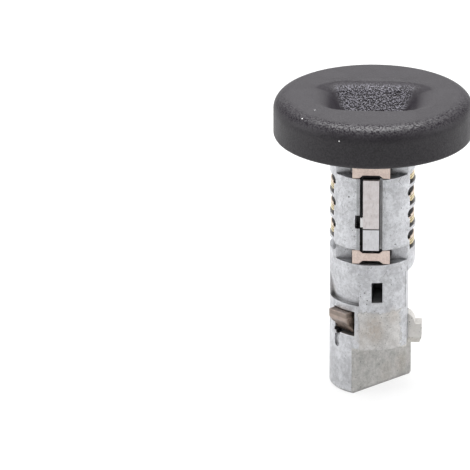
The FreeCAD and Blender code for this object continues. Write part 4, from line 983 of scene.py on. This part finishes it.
def fit_spring(node, name, way, wire, turns):
    """A spring as long and as wide as its node's box along way."""
    low, high = (np.array(corner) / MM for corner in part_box(node))
    axis = int(np.argmax(np.abs(way)))
    length = high[axis] - low[axis]
    outside = min(np.delete(high - low, axis))
    foot = (low + high) / 2 - np.asarray(way, float) * length / 2
    points, faces = coil_spring(foot, way, outside, wire, length, turns)
    spring = new_piece(name, points, faces, wire_paint, "barrel", [node])
    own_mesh(spring)


for place in ("upper", "lower"):
    fit_spring(f"{place}_bar_spring", f"{place}_bar_coil", (0, -1, 0), BAR_COIL_WIRE,
               BAR_COIL_TURNS)
for number, code in enumerate(TUMBLER_CODE, 1):
    way = (1 if number % 2 else -1, 0, 0)
    fit_spring(f"tumbler_spring_{number}", f"tumbler_coil_{number}", way, TUMBLER_COIL_WIRE,
               TUMBLER_COIL_TURNS)

# The latch is a sintered steel block, brown and oily, with a painted highlight at its nose. Its
# spring stands in a bore in its back.
LATCH_DARK = (0.09, 0.066, 0.053)
LATCH_LIGHT = (0.38, 0.295, 0.245)
LATCH_NOSE_HIGHLIGHT = (0.56, 0.47, 0.42)
LATCH_TOP_SHADE = (0.05, 0.04, 0.035)
LATCH_FOOT_SHADE = (0.03, 0.022, 0.018)
LATCH_COIL_FOOT = 0.95
LATCH_COIL_HEIGHT = 17.3
LATCH_COIL_LENGTH = 5.6
LATCH_COIL_OUTSIDE = 2.3
LATCH_COIL_WIRE = 0.3
LATCH_COIL_TURNS = 7


def latch_steel():
    """Brown from dark to light, with a painted highlight at its nose and painted shade at its head
    and foot.
    """
    paint = Finish(bpy.data.materials.new("latch_steel"))
    at = paint.place()
    z = paint.split(at)[2]
    cloud = paint.noise(at, 0.9, 4, 0.65)
    grain = paint.noise(at, 5.0, 3, 0.6)
    tone = paint.blended((cloud, 0.6), (grain, 0.4))
    colour = paint.tint(paint.spread(tone, 0.36, 0.62), LATCH_DARK, LATCH_LIGHT)
    # Painted highlight: lighter towards the nose, where it stands out of the barrel.
    out = paint.vector("DOT_PRODUCT", at, LATCH_WAY)
    rubbed = paint.spread(out, BARREL_RADIUS + 0.7, BARREL_RADIUS + 1.6, 0.0, 0.65)
    colour = paint.tint(rubbed, colour, LATCH_NOSE_HIGHLIGHT)
    colour = paint.tint(paint.spread(z, 18.8, 19.2, 0.0, 0.35), colour, LATCH_TOP_SHADE)
    colour = paint.tint(paint.spread(z, 14.5, 15.6, 0.6, 0.0), colour, LATCH_FOOT_SHADE)
    rough = paint.spread(tone, 0.3, 0.7, 0.32, 0.46)
    relief = paint.relief(grain, 0.04)
    relief = paint.relief(cloud, 0.06, relief)
    return paint.surface(Base_Color=colour, Metallic=0.9, Roughness=rough, Normal=relief)


latch = finished_copy("latch", "latch_block", latch_steel(), edge=0.16, steps=3)
coil_foot = np.array(LATCH_WAY) * LATCH_COIL_FOOT + np.array((0, 0, LATCH_COIL_HEIGHT))
coil_points, coil_faces = coil_spring(
    coil_foot, LATCH_WAY, LATCH_COIL_OUTSIDE, LATCH_COIL_WIRE, LATCH_COIL_LENGTH, LATCH_COIL_TURNS)
latch_coil = new_piece(
    "latch_coil", coil_points, coil_faces, wire_paint, "barrel", ["latch_spring"])
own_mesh(latch_coil)

# The shutter keeps dust out of the key way: a pressed steel door with a rolled knuckle on a
# plain pin, and a small wound spring at the pin's right end.
SHEET_DARK = (0.40, 0.40, 0.41)
SHEET_LIGHT = (0.60, 0.60, 0.61)
DOOR_COIL_WIRE = 0.18
DOOR_COIL_TURNS = 4


def shutter_sheet():
    """Rolled steel, with its lines along the pin."""
    paint = Finish(bpy.data.materials.new("shutter_sheet"))
    at = paint.place()
    cloud = paint.noise(at, 1.2, 3, 0.6)
    lines = paint.noise(paint.stretch(at, (0.1, 1, 1)), 10.0, 2, 0.6)
    colour = paint.tint(paint.spread(cloud, 0.35, 0.65), SHEET_DARK, SHEET_LIGHT)
    rough = paint.spread(lines, 0.3, 0.7, 0.28, 0.42)
    relief = paint.relief(lines, 0.012)
    return paint.surface(Base_Color=colour, Metallic=1.0, Roughness=rough, Normal=relief)


sheet_paint = shutter_sheet()
door = finished_copy("shutter", "shutter_door", sheet_paint, edge=0.05)
pin = finished_copy("shutter_pin", "shutter_hinge_pin", sheet_paint, edge=0.06)
low, high = (np.array(corner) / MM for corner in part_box("shutter_spring"))
coil_foot = np.array((low[0], (low[1] + high[1]) / 2, (low[2] + high[2]) / 2))
coil_points, coil_faces = coil_spring(
    coil_foot, (1, 0, 0), high[1] - low[1], DOOR_COIL_WIRE, high[0] - low[0], DOOR_COIL_TURNS)
door_coil = new_piece(
    "shutter_coil", coil_points, coil_faces, wire_paint, "barrel", ["shutter_spring"])
